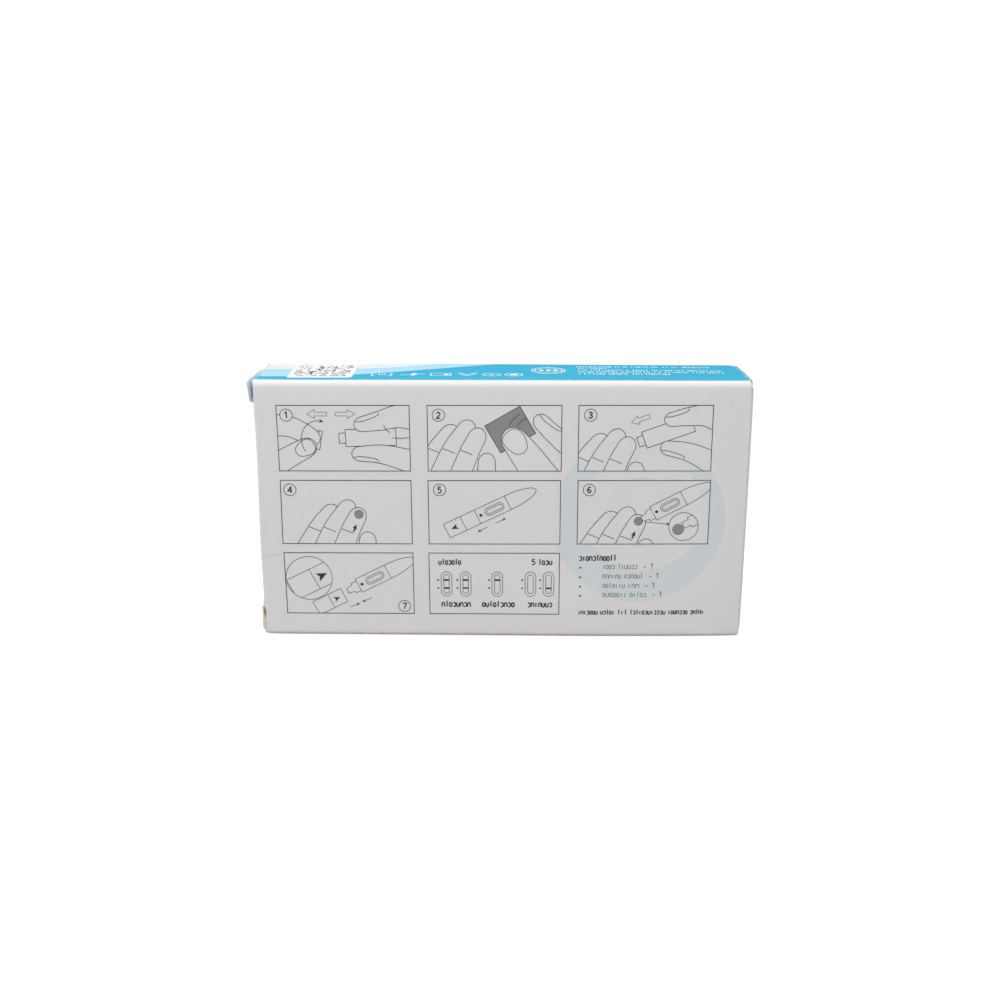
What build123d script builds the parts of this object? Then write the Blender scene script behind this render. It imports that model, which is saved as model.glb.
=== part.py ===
from build123d import *
from math import pi
import os

# Sealed tuck-end carton of a self-test kit, standing on its long narrow side.
# Millimetres, +Z up, origin at the middle of the base. The panel with the printed
# steps faces -Y. The left closure hangs on the back panel and tucks in behind the
# front one, and the right closure is the same thing turned half a turn about Z.

# Outside of the carton, shoulders and seals apart
carton_length = 130.0
carton_depth = 22.0
carton_height = 71.5

# Board and creases
board = 0.45  # thickness of the carton board
panel_fold_radius = 1.1  # outside of the creases between front, top, back and bottom
hinge_fold_radius = 1.0  # outside of the crease that a closure hangs on
dust_fold_radius = 1.0  # outside of the creases of the dust flaps
seam_setback = 0.4  # raw edge of the bottom panel, short of the glued crease

# End closures
closure_inset = 0.5  # closure panel, short of the top and bottom faces
tuck_fold_radius = 0.8  # outside of the crease from closure panel to tuck flap
tuck_gap = 0.25  # between the tuck flap and the panel that it goes behind
tuck_mouth_depth = 3.0  # how far the tuck gap stays open
slit_length = 5.8  # lock slit at each end of the tuck crease

# Dust flap shoulders, which stand out of the lock slits
shoulder_width = 2.6
shoulder_clearance = 0.3  # from a shoulder to the closure panel beside it
shoulder_bend_radius = 1.1
shoulder_lean = 0.3  # how far the free end leans back towards the carton
top_shoulder_overhang = 1.4  # past the face of the closure
bottom_shoulder_overhang = 0.6

# Round clear seals, wrapped over the tuck edges
seal_diameter = 25.0
seal_film = 0.08
seal_drop = 0.85  # middle of the seal, below the middle of the carton
seal_shift = 0.8  # middle of the seal, past the edge and onto the closure

# Places that follow from the sizes above
half_length = carton_length / 2
half_depth = carton_depth / 2
dust_face = half_length - board  # the dust flaps lie one board inside the closure
seam_edge = half_depth - panel_fold_radius - seam_setback
panel_inside = -half_depth + board  # inner face of the front panel
tuck_line = panel_inside + tuck_gap
shoulder_front = -half_depth + panel_fold_radius
shoulder_back = shoulder_front + shoulder_width
seal_middle = carton_height / 2 - seal_drop
touching = 1e-6  # two corners nearer than this are the same corner


def slab(x_range, y_range, z_range):
    """Box between three pairs of limits."""
    low, high = zip(x_range, y_range, z_range)
    sizes = [b - a for a, b in zip(low, high)]
    return Pos(*low) * Box(*sizes, align=(Align.MIN, Align.MIN, Align.MIN))


def upright(section, low, high):
    """A plan section carried from one height to another."""
    return Pos(0, 0, low) * extrude(section, amount=high - low)


def half_turn(shape):
    """The same feature at the other end: half a turn about Z."""
    return Rot(0, 0, 180) * shape


def outline(*points):
    """Face inside a closed run of straight lines."""
    return make_face(Polyline(*points, close=True))


def round_corner(face, corner, radius):
    """The face with the corner at one point rounded."""
    found = [v for v in face.vertices() if (v - Vector(*corner)).center().length < touching]
    return fillet(found, radius)


def rounding_waste(radius):
    """Plan of what a rounded corner at the origin takes off a block towards +X and +Y."""
    square = Rectangle(radius, radius, align=(Align.MIN, Align.MIN))
    return square - Pos(radius, radius) * Circle(radius)


def tube():
    """Front, top, back and bottom panels: their section along X, with the glue seam's step
    under the back, rounded at both ends where the dust flaps fold down."""
    section = outline(
        (-half_depth, 0),
        (seam_edge, 0),
        (seam_edge, board),
        (half_depth, board),
        (half_depth, carton_height),
        (-half_depth, carton_height),
    )
    for corner in (
        (-half_depth, 0),
        (half_depth, board),
        (half_depth, carton_height),
        (-half_depth, carton_height),
    ):
        section = round_corner(section, corner, panel_fold_radius)
    side = Pos(0, carton_height / 2) * RectangleRounded(2 * dust_face, carton_height, dust_fold_radius)
    return extrude(Plane.YZ * section, amount=dust_face, both=True) & extrude(
        Plane.XZ * side, amount=carton_depth, both=True
    )


def left_closure():
    """Closure panel over the left end, with a corner notched out at each lock slit."""
    panel = slab(
        (-half_length, -dust_face),
        (tuck_line, half_depth),
        (closure_inset, carton_height - closure_inset),
    )
    notch_width = (tuck_line, shoulder_back + shoulder_clearance)
    notch_height = slit_length + shoulder_clearance
    for z_range in ((0, notch_height), (carton_height - notch_height, carton_height)):
        panel -= slab((-half_length, -dust_face), notch_width, z_range)
    return panel


def left_hinge_waste():
    """What the round crease between the back panel and the left closure takes off."""
    corner = Pos(-half_length, half_depth) * mirror(rounding_waste(hinge_fold_radius), about=Plane.XZ)
    return upright(corner, 0, carton_height)


def left_tuck_mouth():
    """Gap behind the front panel's raw edge, where the left tuck flap goes in round its crease."""
    gap = Pos(-half_length, panel_inside) * Rectangle(
        tuck_mouth_depth, tuck_gap, align=(Align.MIN, Align.MIN)
    )
    crease = Pos(-half_length, tuck_line) * rounding_waste(tuck_fold_radius)
    return upright(gap + crease, slit_length, carton_height - slit_length)


def left_shoulder(overhang):
    """Top dust flap's shoulder: a tab that runs out level with the top panel, bends down
    outside the closure and ends in a raw edge at the foot of the lock slit."""
    root = -dust_face + dust_fold_radius
    foot = carton_height - slit_length

    def silhouette(inset):
        top = carton_height - inset
        reach = -half_length - overhang + inset
        face = outline((root, top), (reach, top), (reach + shoulder_lean, foot), (root, foot))
        return round_corner(face, (reach, top), shoulder_bend_radius - inset)

    tab = silhouette(0) - silhouette(board)
    return Pos(0, shoulder_front, 0) * extrude(Plane.XZ * tab, amount=-shoulder_width)


def upside_down(shape):
    """The top feature's twin at the bottom: mirrored in the carton's middle height."""
    return mirror(shape, about=Plane.XY.offset(carton_height / 2))


def carton():
    """The folded and filled carton as one closed solid."""
    body = tube()
    for place in (lambda shape: shape, half_turn):
        body += place(left_closure())
        body -= place(left_hinge_waste())
        body -= place(left_tuck_mouth())
        body += place(left_shoulder(top_shoulder_overhang))
        body += place(upside_down(left_shoulder(bottom_shoulder_overhang)))
    return body


def left_seal():
    """Round film wrapped from the front panel onto the left closure, over the raw edge.
    The bend has one board's radius, and the disc is measured along the film."""
    radius = seal_diameter / 2
    bend_length = board * pi / 2
    bend_middle = board - bend_length / 2

    def corner(grown):
        square = Rectangle(seal_diameter, seal_diameter, align=(Align.MIN, Align.MIN))
        square = round_corner(square, (0, 0), board + grown)
        return Pos(-half_length - grown, -half_depth - grown) * square

    strip = upright(corner(seal_film) - corner(0), seal_middle - radius, seal_middle + radius)
    disc_x = -half_length + bend_middle - seal_shift
    disc_y = -half_depth + bend_middle + seal_shift
    on_front = Pos(disc_x, 0, seal_middle) * Rot(90, 0, 0) * Cylinder(radius, 2 * carton_depth)
    on_closure = Pos(-half_length, disc_y, seal_middle) * Rot(0, 90, 0) * Cylinder(radius, carton_length)
    return strip & on_front & on_closure


os.makedirs("parts", exist_ok=True)
export_step(carton(), "parts/carton.step")
export_step(left_seal(), "parts/left_seal.step")
export_step(half_turn(left_seal()), "parts/right_seal.step")
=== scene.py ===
import math
from collections import namedtuple
import bpy
import numpy as np
from mathutils import Matrix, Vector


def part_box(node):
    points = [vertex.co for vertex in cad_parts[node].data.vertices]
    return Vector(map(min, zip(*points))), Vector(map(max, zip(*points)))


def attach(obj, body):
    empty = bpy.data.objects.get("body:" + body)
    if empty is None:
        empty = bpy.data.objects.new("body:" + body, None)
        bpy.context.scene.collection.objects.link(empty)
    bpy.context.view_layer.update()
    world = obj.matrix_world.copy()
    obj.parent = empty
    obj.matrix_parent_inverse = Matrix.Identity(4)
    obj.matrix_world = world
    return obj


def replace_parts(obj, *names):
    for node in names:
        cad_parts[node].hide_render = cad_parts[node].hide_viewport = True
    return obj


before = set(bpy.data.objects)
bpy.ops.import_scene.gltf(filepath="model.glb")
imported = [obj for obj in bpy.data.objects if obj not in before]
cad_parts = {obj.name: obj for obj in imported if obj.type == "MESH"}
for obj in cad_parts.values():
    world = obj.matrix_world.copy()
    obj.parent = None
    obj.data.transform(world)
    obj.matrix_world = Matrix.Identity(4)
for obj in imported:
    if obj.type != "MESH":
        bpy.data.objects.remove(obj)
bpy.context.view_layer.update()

# Looks of a sealed test kit carton. All sizes here are millimetres until a mesh is written:
# x runs along the carton, y from its front panel to its back panel, z up from its base.
mm = 0.001
carton_low, carton_high = (np.array(corner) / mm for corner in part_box("carton"))
carton_length = 130.0
carton_depth = carton_high[1] - carton_low[1]
carton_height = carton_high[2]
half_length = carton_length / 2
half_depth = carton_depth / 2

# Board, creases and flaps
board = 0.45
panel_fold = 1.1
front_fold = 2.1
hinge_fold = 1.0
dust_fold = 0.75
edge_round = 0.13
tuck_fold = 0.8
tuck_gap = 0.25
tuck_length = 13.0
dust_length = 17.5
glue_length = 13.0
seam_setback = 0.4
slit_length = 5.8
slit_gap = 0.3
flap_relief = 0.2
fold_overrun = 0.7
seated_gap = 0.04
shoulder_width = 2.6
closure_span = {-1: (0.95, 70.7), 1: (0.85, 70.55)}
flare_reach = 0.3

# Shoulders of the dust flaps, by end and by top or bottom: how far each stands past the closure, its
# length, its bend and its lean; how the left ones are turned, as for twisted(); and where the lower left
# one is crushed
shoulder_reach = {
    (-1, True): (1.41, 6.5, 1.9, 4.5),
    (-1, False): (1.0, 7.7, 2.8, 4.0),
    (1, True): (0.15, 5.8, 1.0, 4.5),
    (1, False): (0.15, 5.8, 1.0, 4.5),
}
shoulder_twist = {True: (0.45, 1.29, 0.5, 0.0), False: (1.0, 0.62, 0.0, 0.0)}
crush_top = 5.8
crush_fade = 2.2

# Places where creases begin and flaps end
front_flat = -half_depth + panel_fold
top_front = -half_depth + front_fold
back_flat = half_depth - panel_fold
top_flat = carton_height - panel_fold
raw_end = half_length - edge_round
hinge_start = half_length - hinge_fold
fold_end = hinge_start + fold_overrun
dust_start = half_length - board - seated_gap - dust_fold
shoulder_back = front_flat + shoulder_width
dust_front = shoulder_back + slit_gap
dust_back = back_flat - flap_relief
notch = slit_length + slit_gap
tuck_inset = board + tuck_gap

# How finely the board is divided, the degrees past which an edge is sharp, and the slack of a comparison
grid_step = 2.0
fold_steps = 8
sharp_angle = 35
slack = 1e-6

# Clear seals
seal_radius = 12.5
seal_film = 0.08
seal_drop = 0.85
seal_middle = carton_height / 2 - seal_drop
seal_shift = 0.8
seal_columns = 60
seal_rows = 40
seal_tip = 0.9999
film_foot = 0.002
rim_width = 0.7
rim_slope_width = 0.5
rim_rise = 0.045
bridge_middle = 1.0
bridge_reach = 1.6

# Layers of print above the board, and widths of its lines
ink_foot = -0.004
tint_lift = 0.006
field_lift = 0.010
patch_lift = 0.016
line_lift = 0.022
line_width = 0.175
rule_width = 0.21
stroke_step = 0.22

# Camera, fitted to the corners of the carton
camera_place = (1.929, -326.770, 134.874)
camera_pitch = 16.853
camera_yaw = -0.483
camera_roll = 0.050
focal_pixels = 1238.89
frame_pixels = 1000
sensor_width = 36.0

# Light: how bright the surroundings are at the left and at the right, and the soft boxes, each with its
# place and size in metres, its watts and its tilt in degrees
surround_levels = (0.48, 0.26)
soft_boxes = (
    ("overhead", (-0.12, -0.34, 0.72), (0.8, 0.6), 5.95, 0),
    ("behind", (0.1, 1.0, 0.14), (0.8, 0.2), 1.5, -90),
)

# White floor: its half width in metres, its grey to the light, its glow to the eye and the share of that
floor_half = 30.0
floor_grey = 0.5
floor_glow = 1.21
floor_glow_share = 0.8

# Swell, sag and wear of the filled carton
back_swell = 0.45
front_swell = 0.22
top_crown = 0.22
crown_power = 6
foot_sag = 0.2
end_spread = 9.0
right_bow_ends = 0.07
right_bow_middle = 0.2
left_crest = 1.6
right_crest = 0.25
crest_height = 0.85
crest_foot = carton_height - crest_height
crest_rise = 0.5
crest_back = 9.0
crest_fade = 7.0
closure_front = 0.5
rubbed_from = 68.6
rubbed_top = 0.064
rubbed_below = 1.6
rubbed_foot = 0.5

# Dents and bulges: how far each moves the board along x, y and z, the part of the board that it moves, and
# the middle and the spread of its bell along x, y and z
anywhere = (0.0, math.inf)
Dent = namedtuple("Dent", "move part x y z", defaults=(anywhere, anywhere, anywhere))
at_left_end = (-half_length, end_spread)
foot_bulge = Dent((0, -0.55, 0), "front", x=(30, 34), z=(4, 16))
top_bulge = Dent((0, 0, 0.25), "back of the top", x=(-22, 34))
left_lean = Dent((-0.14, 0, 0), "all", x=at_left_end)
left_hollow = Dent((0.12, 0, 0), "all", x=at_left_end, z=(52, 9))
left_belly = Dent((-0.27, 0, 0), "front", x=at_left_end, z=(24, 13))
left_heel = Dent((0, 0, 0.25), "front", x=(-half_length, 1.6), z=(0, 1.5))
left_toe = Dent((-0.35, 0, 0), "front", x=(-half_length, 1.2), z=(1.3, 0.9))
closure_bulge = Dent((-0.6, 0, 0), "behind the front", (-half_length, 1.2), (-9, 3), (8.4, 2.4))
corner_dent = Dent((-0.25, -0.4, -0.25), "all", (half_length, 1.8), (half_depth, 5), (carton_height, 4))
corner_push = Dent((-0.6, 0, 0), "all", (half_length, 1.8), (half_depth, 7), (carton_height, 4))
right_draw = Dent((0, 0.35, 0), "front", x=(half_length + 1.5, 6))
left_dents = (left_lean, left_hollow, left_belly, left_heel, left_toe, closure_bulge)
dents = (foot_bulge, top_bulge, *left_dents, corner_dent, corner_push, right_draw)


# Shapes


def bell(value, middle, spread):
    """Bell curve of height 1 about a middle."""
    return np.exp(-(((value - middle) / spread) ** 2))


def settle(points):
    """How the filled carton sits: each panel swells towards its middle, the top crowns, the foot sags, the
    right end bows, each dent moves the board by a bell about its middle, the folds of the upper dust flaps
    stand out over their closures, and the right end's front corners are rubbed round."""
    x, y, z = points.T
    along = np.clip(x / half_length, -1, 1)
    up = np.clip(z / carton_height, 0, 1)
    out = np.clip(y / half_depth, -1, 1)
    front = np.clip(-out, 0, 1) ** 2
    back = np.clip(out, 0, 1) ** 2
    high = up**crown_power
    parts = {
        "all": 1.0,
        "front": front,
        "back of the top": back * high,
        "behind the front": np.clip(y + half_depth - closure_front, 0, 1),
    }
    swell = (1 - along**2) * (1 - (2 * up - 1) ** 2)
    bow = right_bow_ends + right_bow_middle * (1 - (2 * up - 1) ** 4)
    moved = points.copy()
    moved[:, 0] += bow * bell(x, half_length, end_spread)
    moved[:, 1] += (back_swell * back - front_swell * front) * swell
    moved[:, 2] += top_crown * (1 - along**2) * (1 - out**2) * high
    moved[:, 2] += foot_sag * (1 - (1 - along**2) * (1 - up) ** 3)
    for dent in dents:
        share = parts[dent.part] * bell(x, *dent.x) * bell(y, *dent.y) * bell(z, *dent.z)
        moved += share[:, None] * np.array(dent.move)
    past = np.clip((np.abs(x) - dust_start) / dust_fold, 0, 1)
    crest = past * np.clip((z - crest_foot) / crest_rise, 0, 1)
    fading = (y > dust_front - slit_gap / 2) * np.clip((crest_back - y) / crest_fade, 0, 1)
    moved[:, 0] += crest * np.where(x < 0, -left_crest * fading, right_crest)
    edge_amount = rubbed_top * np.clip(z - rubbed_from, 0, None) ** 2
    edge_amount += rubbed_foot * np.clip(rubbed_below - z, 0, None) ** 2
    round_end = np.minimum(moved[:, 0], half_length + bow - edge_amount)
    moved[:, 0] = np.where(y < dust_front, round_end, moved[:, 0])
    return moved


def filled_steps(stops):
    """Marks along a straight leg: its stops, and even steps between them."""
    marks = []
    for start, end in zip([0, *stops], stops):
        count = max(1, math.ceil((end - start) / grid_step))
        marks.append(np.linspace(start, end, count + 1)[1:])
    return np.concatenate(marks)


def walk(heading, legs, start=(0, 0)):
    """A line walked from its start. A list is a straight leg through those stops, and a pair is a round
    fold to the right, its degrees and its outside radius. Gives the points, the normals to the left and
    the number of the leg that each step lies on."""
    place = np.array(start, float)
    angle = math.radians(heading)
    points = [place[None]]
    normals = [np.array([[-math.sin(angle), math.cos(angle)]])]
    owners = []
    for number, leg in enumerate(legs):
        if isinstance(leg, tuple):
            degrees, radius = leg
            headings = angle - np.linspace(0, math.radians(degrees), fold_steps + 1)[1:]
            around = np.stack([-np.sin(headings), np.cos(headings)], 1)
            steps = place + radius * (around - normals[-1][-1])
            angle = headings[-1]
        else:
            steps = place + filled_steps(leg)[:, None] * np.array([math.cos(angle), math.sin(angle)])
            around = np.repeat(normals[-1][-1:], len(steps), 0)
        points.append(steps)
        normals.append(around)
        owners.append(np.full(len(steps), number))
        place = steps[-1]
    return np.concatenate(points), np.concatenate(normals), np.concatenate(owners)


def grid_cells(mask):
    """Corner numbers of the cells of a grid that a mask keeps, one row of four for each cell."""
    rows, columns = mask.shape
    i, j = np.nonzero(mask)
    corner = i * (columns + 1) + j
    return np.stack([corner, corner + columns + 1, corner + columns + 2, corner + 1], 1)


def every_cell(grid):
    """Mask that keeps each cell of a grid of points."""
    return np.ones((grid.shape[0] - 1, grid.shape[1] - 1), bool)


def joined(patches):
    """Patches, each its points and its cells, as one run of points and cells."""
    counts = np.cumsum([0] + [len(points) for points, _ in patches])
    cells = [cells + count for (_, cells), count in zip(patches, counts)]
    return np.concatenate([points for points, _ in patches]), np.concatenate(cells)


def closed_sheet(outer, inner, cells):
    """Thick sheet: equal corners are merged, triangles face from inner to outer, and each edge that only
    one triangle uses gets a wall. Gives points, triangles and their sides: 0 outer, 1 inner, 2 wall."""
    merged, number = np.unique(np.round(np.hstack([outer, inner]), 5), axis=0, return_inverse=True)
    cells = number.reshape(-1)[cells]
    triangles = np.concatenate([cells[:, [0, 1, 2]], cells[:, [0, 2, 3]]])
    a, b, c = triangles.T
    triangles = triangles[(a != b) & (b != c) & (c != a)]
    used, triangles = np.unique(triangles, return_inverse=True)
    triangles = triangles.reshape(-1, 3)
    outer = merged[used, :3]
    inner = merged[used, 3:]
    a, b, c = (outer[triangles[:, k]] for k in range(3))
    facing = (np.cross(b - a, c - a) * (outer - inner)[triangles[:, 0]]).sum(1)
    triangles = np.where((facing < 0)[:, None], triangles[:, ::-1], triangles)
    edges = np.concatenate([triangles[:, [0, 1]], triangles[:, [1, 2]], triangles[:, [2, 0]]])
    _, which, counts = np.unique(np.sort(edges, 1), axis=0, return_inverse=True, return_counts=True)
    a, b = edges[counts[which.reshape(-1)] == 1].T
    size = len(outer)
    walls = np.concatenate([np.stack([b, a, a + size], 1), np.stack([b, a + size, b + size], 1)])
    below = triangles[:, ::-1] + size
    sides = np.repeat([0, 1, 2], [len(triangles), len(below), len(walls)])
    return np.concatenate([outer, inner]), np.concatenate([triangles, below, walls]), sides


def piece(name, points, triangles, finishes, sides=None):
    """Object from points in millimetres, smooth but for its cut edges, riding on the carton."""
    mesh = bpy.data.meshes.new(name)
    mesh.vertices.add(len(points))
    mesh.vertices.foreach_set("co", (points * mm).astype(np.float32).ravel())
    mesh.loops.add(triangles.size)
    mesh.loops.foreach_set("vertex_index", triangles.astype(np.int32).ravel())
    mesh.polygons.add(len(triangles))
    mesh.polygons.foreach_set("loop_start", np.arange(0, triangles.size, 3, dtype=np.int32))
    for finish in finishes:
        mesh.materials.append(finish)
    if sides is not None:
        mesh.polygons.foreach_set("material_index", sides.astype(np.int32))
    mesh.polygons.foreach_set("use_smooth", np.ones(len(triangles), bool))
    mesh.update(calc_edges=True)
    mesh.set_sharp_from_angle(angle=math.radians(sharp_angle))
    made = bpy.data.objects.new(name, mesh)
    bpy.context.scene.collection.objects.link(made)
    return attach(made, "root")


def point_value(made, name, values):
    """Gives a piece a number at each of its points, for its finish to read."""
    layer = made.data.attributes.new(name, "FLOAT", "POINT")
    layer.data.foreach_set("value", values.astype(np.float32))


# Folded board

cross_stops = (-dust_back, shoulder_back, dust_front, -dust_front, -shoulder_back, dust_back, back_flat)
seam_edge = back_flat - seam_setback
tube_legs = [
    [seam_edge + stop for stop in cross_stops],
    (90, panel_fold),
    [notch - panel_fold, carton_height - notch - panel_fold, carton_height - front_fold - panel_fold],
    (90, front_fold),
    [stop - top_front for stop in cross_stops if stop > top_front],
    (90, panel_fold),
    [top_flat - carton_height + notch, top_flat - notch, top_flat - panel_fold - board],
    (90, panel_fold),
    [glue_length],
]
bottom_leg, front_leg, top_leg, back_leg, glue_leg = 0, 2, 4, 6, 8
section, section_normal, section_leg = walk(180, tube_legs, (seam_edge, 0))
between_ends = np.linspace(-dust_start, dust_start, math.ceil(2 * dust_start / grid_step) + 1)
end_stations = np.array([hinge_start, fold_end, raw_end])
tube_stations = np.concatenate([-end_stations[::-1], between_ends, end_stations])


def tube_grid():
    """The tube: its section carried along x. Each panel ends where its own flaps begin to fold."""
    x = tube_stations
    outer = np.empty((len(section), len(x), 3))
    outer[..., 0] = x[None, :]
    outer[..., 1:] = section[:, None, :]
    inner = outer.copy()
    inner[..., 1:] -= board * section_normal[:, None, :]
    dusted = np.isin(section_leg, (bottom_leg, top_leg, glue_leg))
    hinged = np.where(section_leg % 2 == 1, fold_end, hinge_start)
    left_end = np.where(dusted, dust_start, np.where(section_leg > top_leg, hinged, raw_end))
    right_end = np.where(dusted, dust_start, np.where(section_leg < top_leg, hinged, raw_end))
    middle = ((x[1:] + x[:-1]) / 2)[None, :]
    return outer, inner, (middle > -left_end[:, None]) & (middle < right_end[:, None])


def panel_marks(leg, axis, low, high):
    """The section's own marks on one panel between two limits, so that a flap shares its corners."""
    steps = np.flatnonzero(section_leg == leg)
    marks = section[steps[0] : steps[-1] + 2, axis]
    return np.sort(marks[(marks > low - slack) & (marks < high + slack)])


def flap_skin(corner, across, outward, widths, path, offset, span=None):
    """A flap: its path carried across its widths. The path's first number runs away from the carton's
    middle along x, its second along the panel's outward normal, and offset lifts it off the board. Past its
    crease the flap's two edges widen to a span."""
    line, normal, _ = path
    gone = np.concatenate([[0], np.cumsum(np.linalg.norm(np.diff(line, axis=0), axis=1))])
    spread = np.repeat(widths[None, :], len(line), 0)
    if span:
        wide = np.interp(widths, [widths.min(), widths.max()], span)
        spread = spread + (wide - widths)[None, :] * np.clip(gone / flare_reach, 0, 1)[:, None]
    away = np.array([math.copysign(1, corner[0]), 0.0, 0.0])
    lifted = (line + offset * normal)[:, None, :]
    base = np.array(corner, float) + spread[..., None] * np.array(across, float)
    return base + lifted[..., :1] * away + lifted[..., 1:] * np.array(outward, float)


dust_path = walk(0, [(90, dust_fold), [dust_length]])
closure_path = walk(
    0,
    [
        (90, hinge_fold),
        [half_depth - hinge_fold - dust_front],
        [half_depth - tuck_inset - tuck_fold + dust_front],
        (90, tuck_fold),
        [tuck_length],
    ],
)


def shoulder_path(overhang, length, bend, lean):
    """A dust flap's shoulder: straight out past the closure, round a bend and down, leaning back."""
    straight = half_length + overhang - bend - dust_start
    return walk(0, [[straight], (90 + lean, bend), [length - bend]])


def twisted(skin, front_reach, back_reach, front_fall, back_fall):
    """A left shoulder turned about its root: from its front edge to its back edge its reach changes from
    one share to another, and its free end falls outwards or inwards by so many millimetres."""
    y, z = skin[..., 1], skin[..., 2]
    share = (y - y.min()) / (y.max() - y.min())
    fall = np.minimum(z, carton_height - z) / slit_length
    reach = (-skin[..., 0] - dust_start) * (front_reach + (back_reach - front_reach) * share)
    skin[..., 0] = -dust_start - reach - fall * (front_fall + (back_fall - front_fall) * share)
    return skin


def crushed(skin):
    """Inner face of the lower left shoulder, its front edge swollen until it meets the panel's raw edge:
    most near its root, and not at all at its back edge or its free end."""
    y, z = skin[..., 1], skin[..., 2]
    share = (y - y.min()) / (y.max() - y.min())
    swollen = np.clip((crush_top - z) / crush_fade, 0, 1) * np.clip(1 - 2 * share, 0, 1)
    gap = np.clip(-raw_end - skin[..., 0], 0, None)
    skin[..., 0] += gap * swollen
    return skin


def shoulder_skin(side, top, offset):
    """A shoulder of one end: the left ones stand out of their slits and the right ones lie flush."""
    leg, height, outward = (top_leg, carton_height, 1) if top else (bottom_leg, 0, -1)
    widths = panel_marks(leg, 0, *sorted((-side * front_flat, -side * shoulder_back)))
    path = shoulder_path(*shoulder_reach[side, top])
    skin = flap_skin((side * dust_start, 0, height), (0, 1, 0), (0, 0, outward), widths, path, offset)
    if side > 0:
        return skin
    skin = twisted(skin, *shoulder_twist[top])
    return crushed(skin) if offset < ink_foot and not top else skin


def dust_skin(side, top, offset):
    """A dust flap of one end, folded down inside the closure."""
    leg, height, outward = (top_leg, carton_height, 1) if top else (bottom_leg, 0, -1)
    widths = panel_marks(leg, 0, *sorted((-side * dust_front, -side * dust_back)))
    return flap_skin((side * dust_start, 0, height), (0, 1, 0), (0, 0, outward), widths, dust_path, offset)


def end_grids(side):
    """Flaps of one end: its dust flaps with their shoulders, and its closure with notched corners."""
    grids = []
    for skin in (shoulder_skin, dust_skin):
        for top in (True, False):
            outer = skin(side, top, 0)
            grids.append((outer, skin(side, top, -board), every_cell(outer)))
    widths = panel_marks(back_leg if side < 0 else front_leg, 1, 0, carton_height)
    corner = (side * hinge_start, -side * half_depth, 0)
    skins = [
        flap_skin(corner, (0, 0, 1), (0, -side, 0), widths, closure_path, offset, closure_span[side])
        for offset in (0, -board)
    ]
    heights = (widths[1:] + widths[:-1]) / 2
    slit = (heights < notch) | (heights > carton_height - notch)
    grids.append((*skins, ~((closure_path[2] > 1)[:, None] & slit[None, :])))
    return grids


def crease_nearness(points):
    """How near each point is to a crease: the largest product of its nearness to two faces."""
    reach = 1.6
    x, y, z = np.abs(points[:, 0]), np.abs(points[:, 1]), points[:, 2]
    ends = np.clip(1 - (half_length - x) / reach, 0, 1)
    faces = np.clip(1 - (half_depth - y) / reach, 0, 1)
    levels = np.clip(1 - np.minimum(z, carton_height - z) / reach, 0, 1)
    return np.maximum(np.maximum(ends * faces, faces * levels), ends * levels)


def make_board(finishes):
    """The die-cut board, folded: the tube and both ends as one sheet."""
    grids = [tube_grid(), *end_grids(-1), *end_grids(1)]
    outer, cells = joined([(grid.reshape(-1, 3), grid_cells(mask)) for grid, _, mask in grids])
    inner = np.concatenate([grid.reshape(-1, 3) for _, grid, _ in grids])
    points, triangles, sides = closed_sheet(outer, inner, cells)
    made = piece("carton_board", settle(points), triangles, finishes, sides)
    point_value(made, "crease", crease_nearness(points))
    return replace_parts(made, "carton")


def make_seal(name, node_name, turn, finish):
    """Round film over a tuck edge. Along the film its disc has columns s and rows t: each column is as
    tall as the disc's chord there. The columns wrap from one panel round the raw edge onto the closure."""
    bend = edge_round * math.pi / 2
    fine = seal_radius * np.sin(np.linspace(-math.pi / 2, math.pi / 2, seal_columns + 1)) * seal_tip
    round_edge = np.linspace(-bend / 2, bend / 2, fold_steps + 1) - seal_shift
    s = np.unique(np.round(np.concatenate([fine, round_edge]), 4))
    chord = np.sqrt(seal_radius**2 - s**2)
    t = np.linspace(-1, 1, seal_rows + 1)
    past_edge = (s + seal_shift)[:, None]
    rows = chord[:, None] * t[None, :]
    angle = np.clip((past_edge + bend / 2) / edge_round, 0, math.pi / 2)
    half_turn = np.array([turn, turn, 1.0])

    def skin(offset):
        x = -raw_end - (edge_round + offset) * np.sin(angle) + np.clip(-past_edge - bend / 2, 0, None)
        y = edge_round - half_depth - (edge_round + offset) * np.cos(angle)
        y = y + np.clip(past_edge - bend / 2, 0, None)
        return np.stack(np.broadcast_arrays(x, y, seal_middle + rows), -1) * half_turn

    outer = skin(seal_film)
    cells = grid_cells(every_cell(outer))
    points, triangles, _ = closed_sheet(outer.reshape(-1, 3), skin(film_foot).reshape(-1, 3), cells)
    made = piece(name, settle(points), triangles, [finish])
    x, y, z = (points * half_turn).T
    panel_way = x + raw_end + bend / 2 - seal_shift
    closure_way = np.clip(y + half_depth - edge_round, 0, None) + bend / 2 + seal_shift
    along = np.where(x > -raw_end, panel_way, closure_way)
    rim = np.clip(1 - (seal_radius - np.hypot(along, z - seal_middle)) / rim_width, 0, 1)
    loose = np.clip(1 - np.abs(x + half_length - bridge_middle) / bridge_reach, 0, 1)
    point_value(made, "rim", rim)
    point_value(made, "loose", loose)
    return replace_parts(made, node_name)


# Panels as places for print: flat points (along, up or across) and a lift become points in space

print_turn = 0.003
print_shift = (0.05, 0.07)


def on_panel(flat, lift):
    """Front panel: x and z."""
    return np.stack([flat[:, 0], np.full(len(flat), -half_depth - lift), flat[:, 1]], 1)


def on_front(flat, lift):
    """Front panel's print: turned a little about the panel's middle and shifted, as on its sheet."""
    x = flat[:, 0] - print_turn * (flat[:, 1] - carton_height / 2) + print_shift[0]
    z = flat[:, 1] + print_turn * flat[:, 0] + print_shift[1]
    return on_panel(np.stack([x, z], 1), lift)


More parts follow.
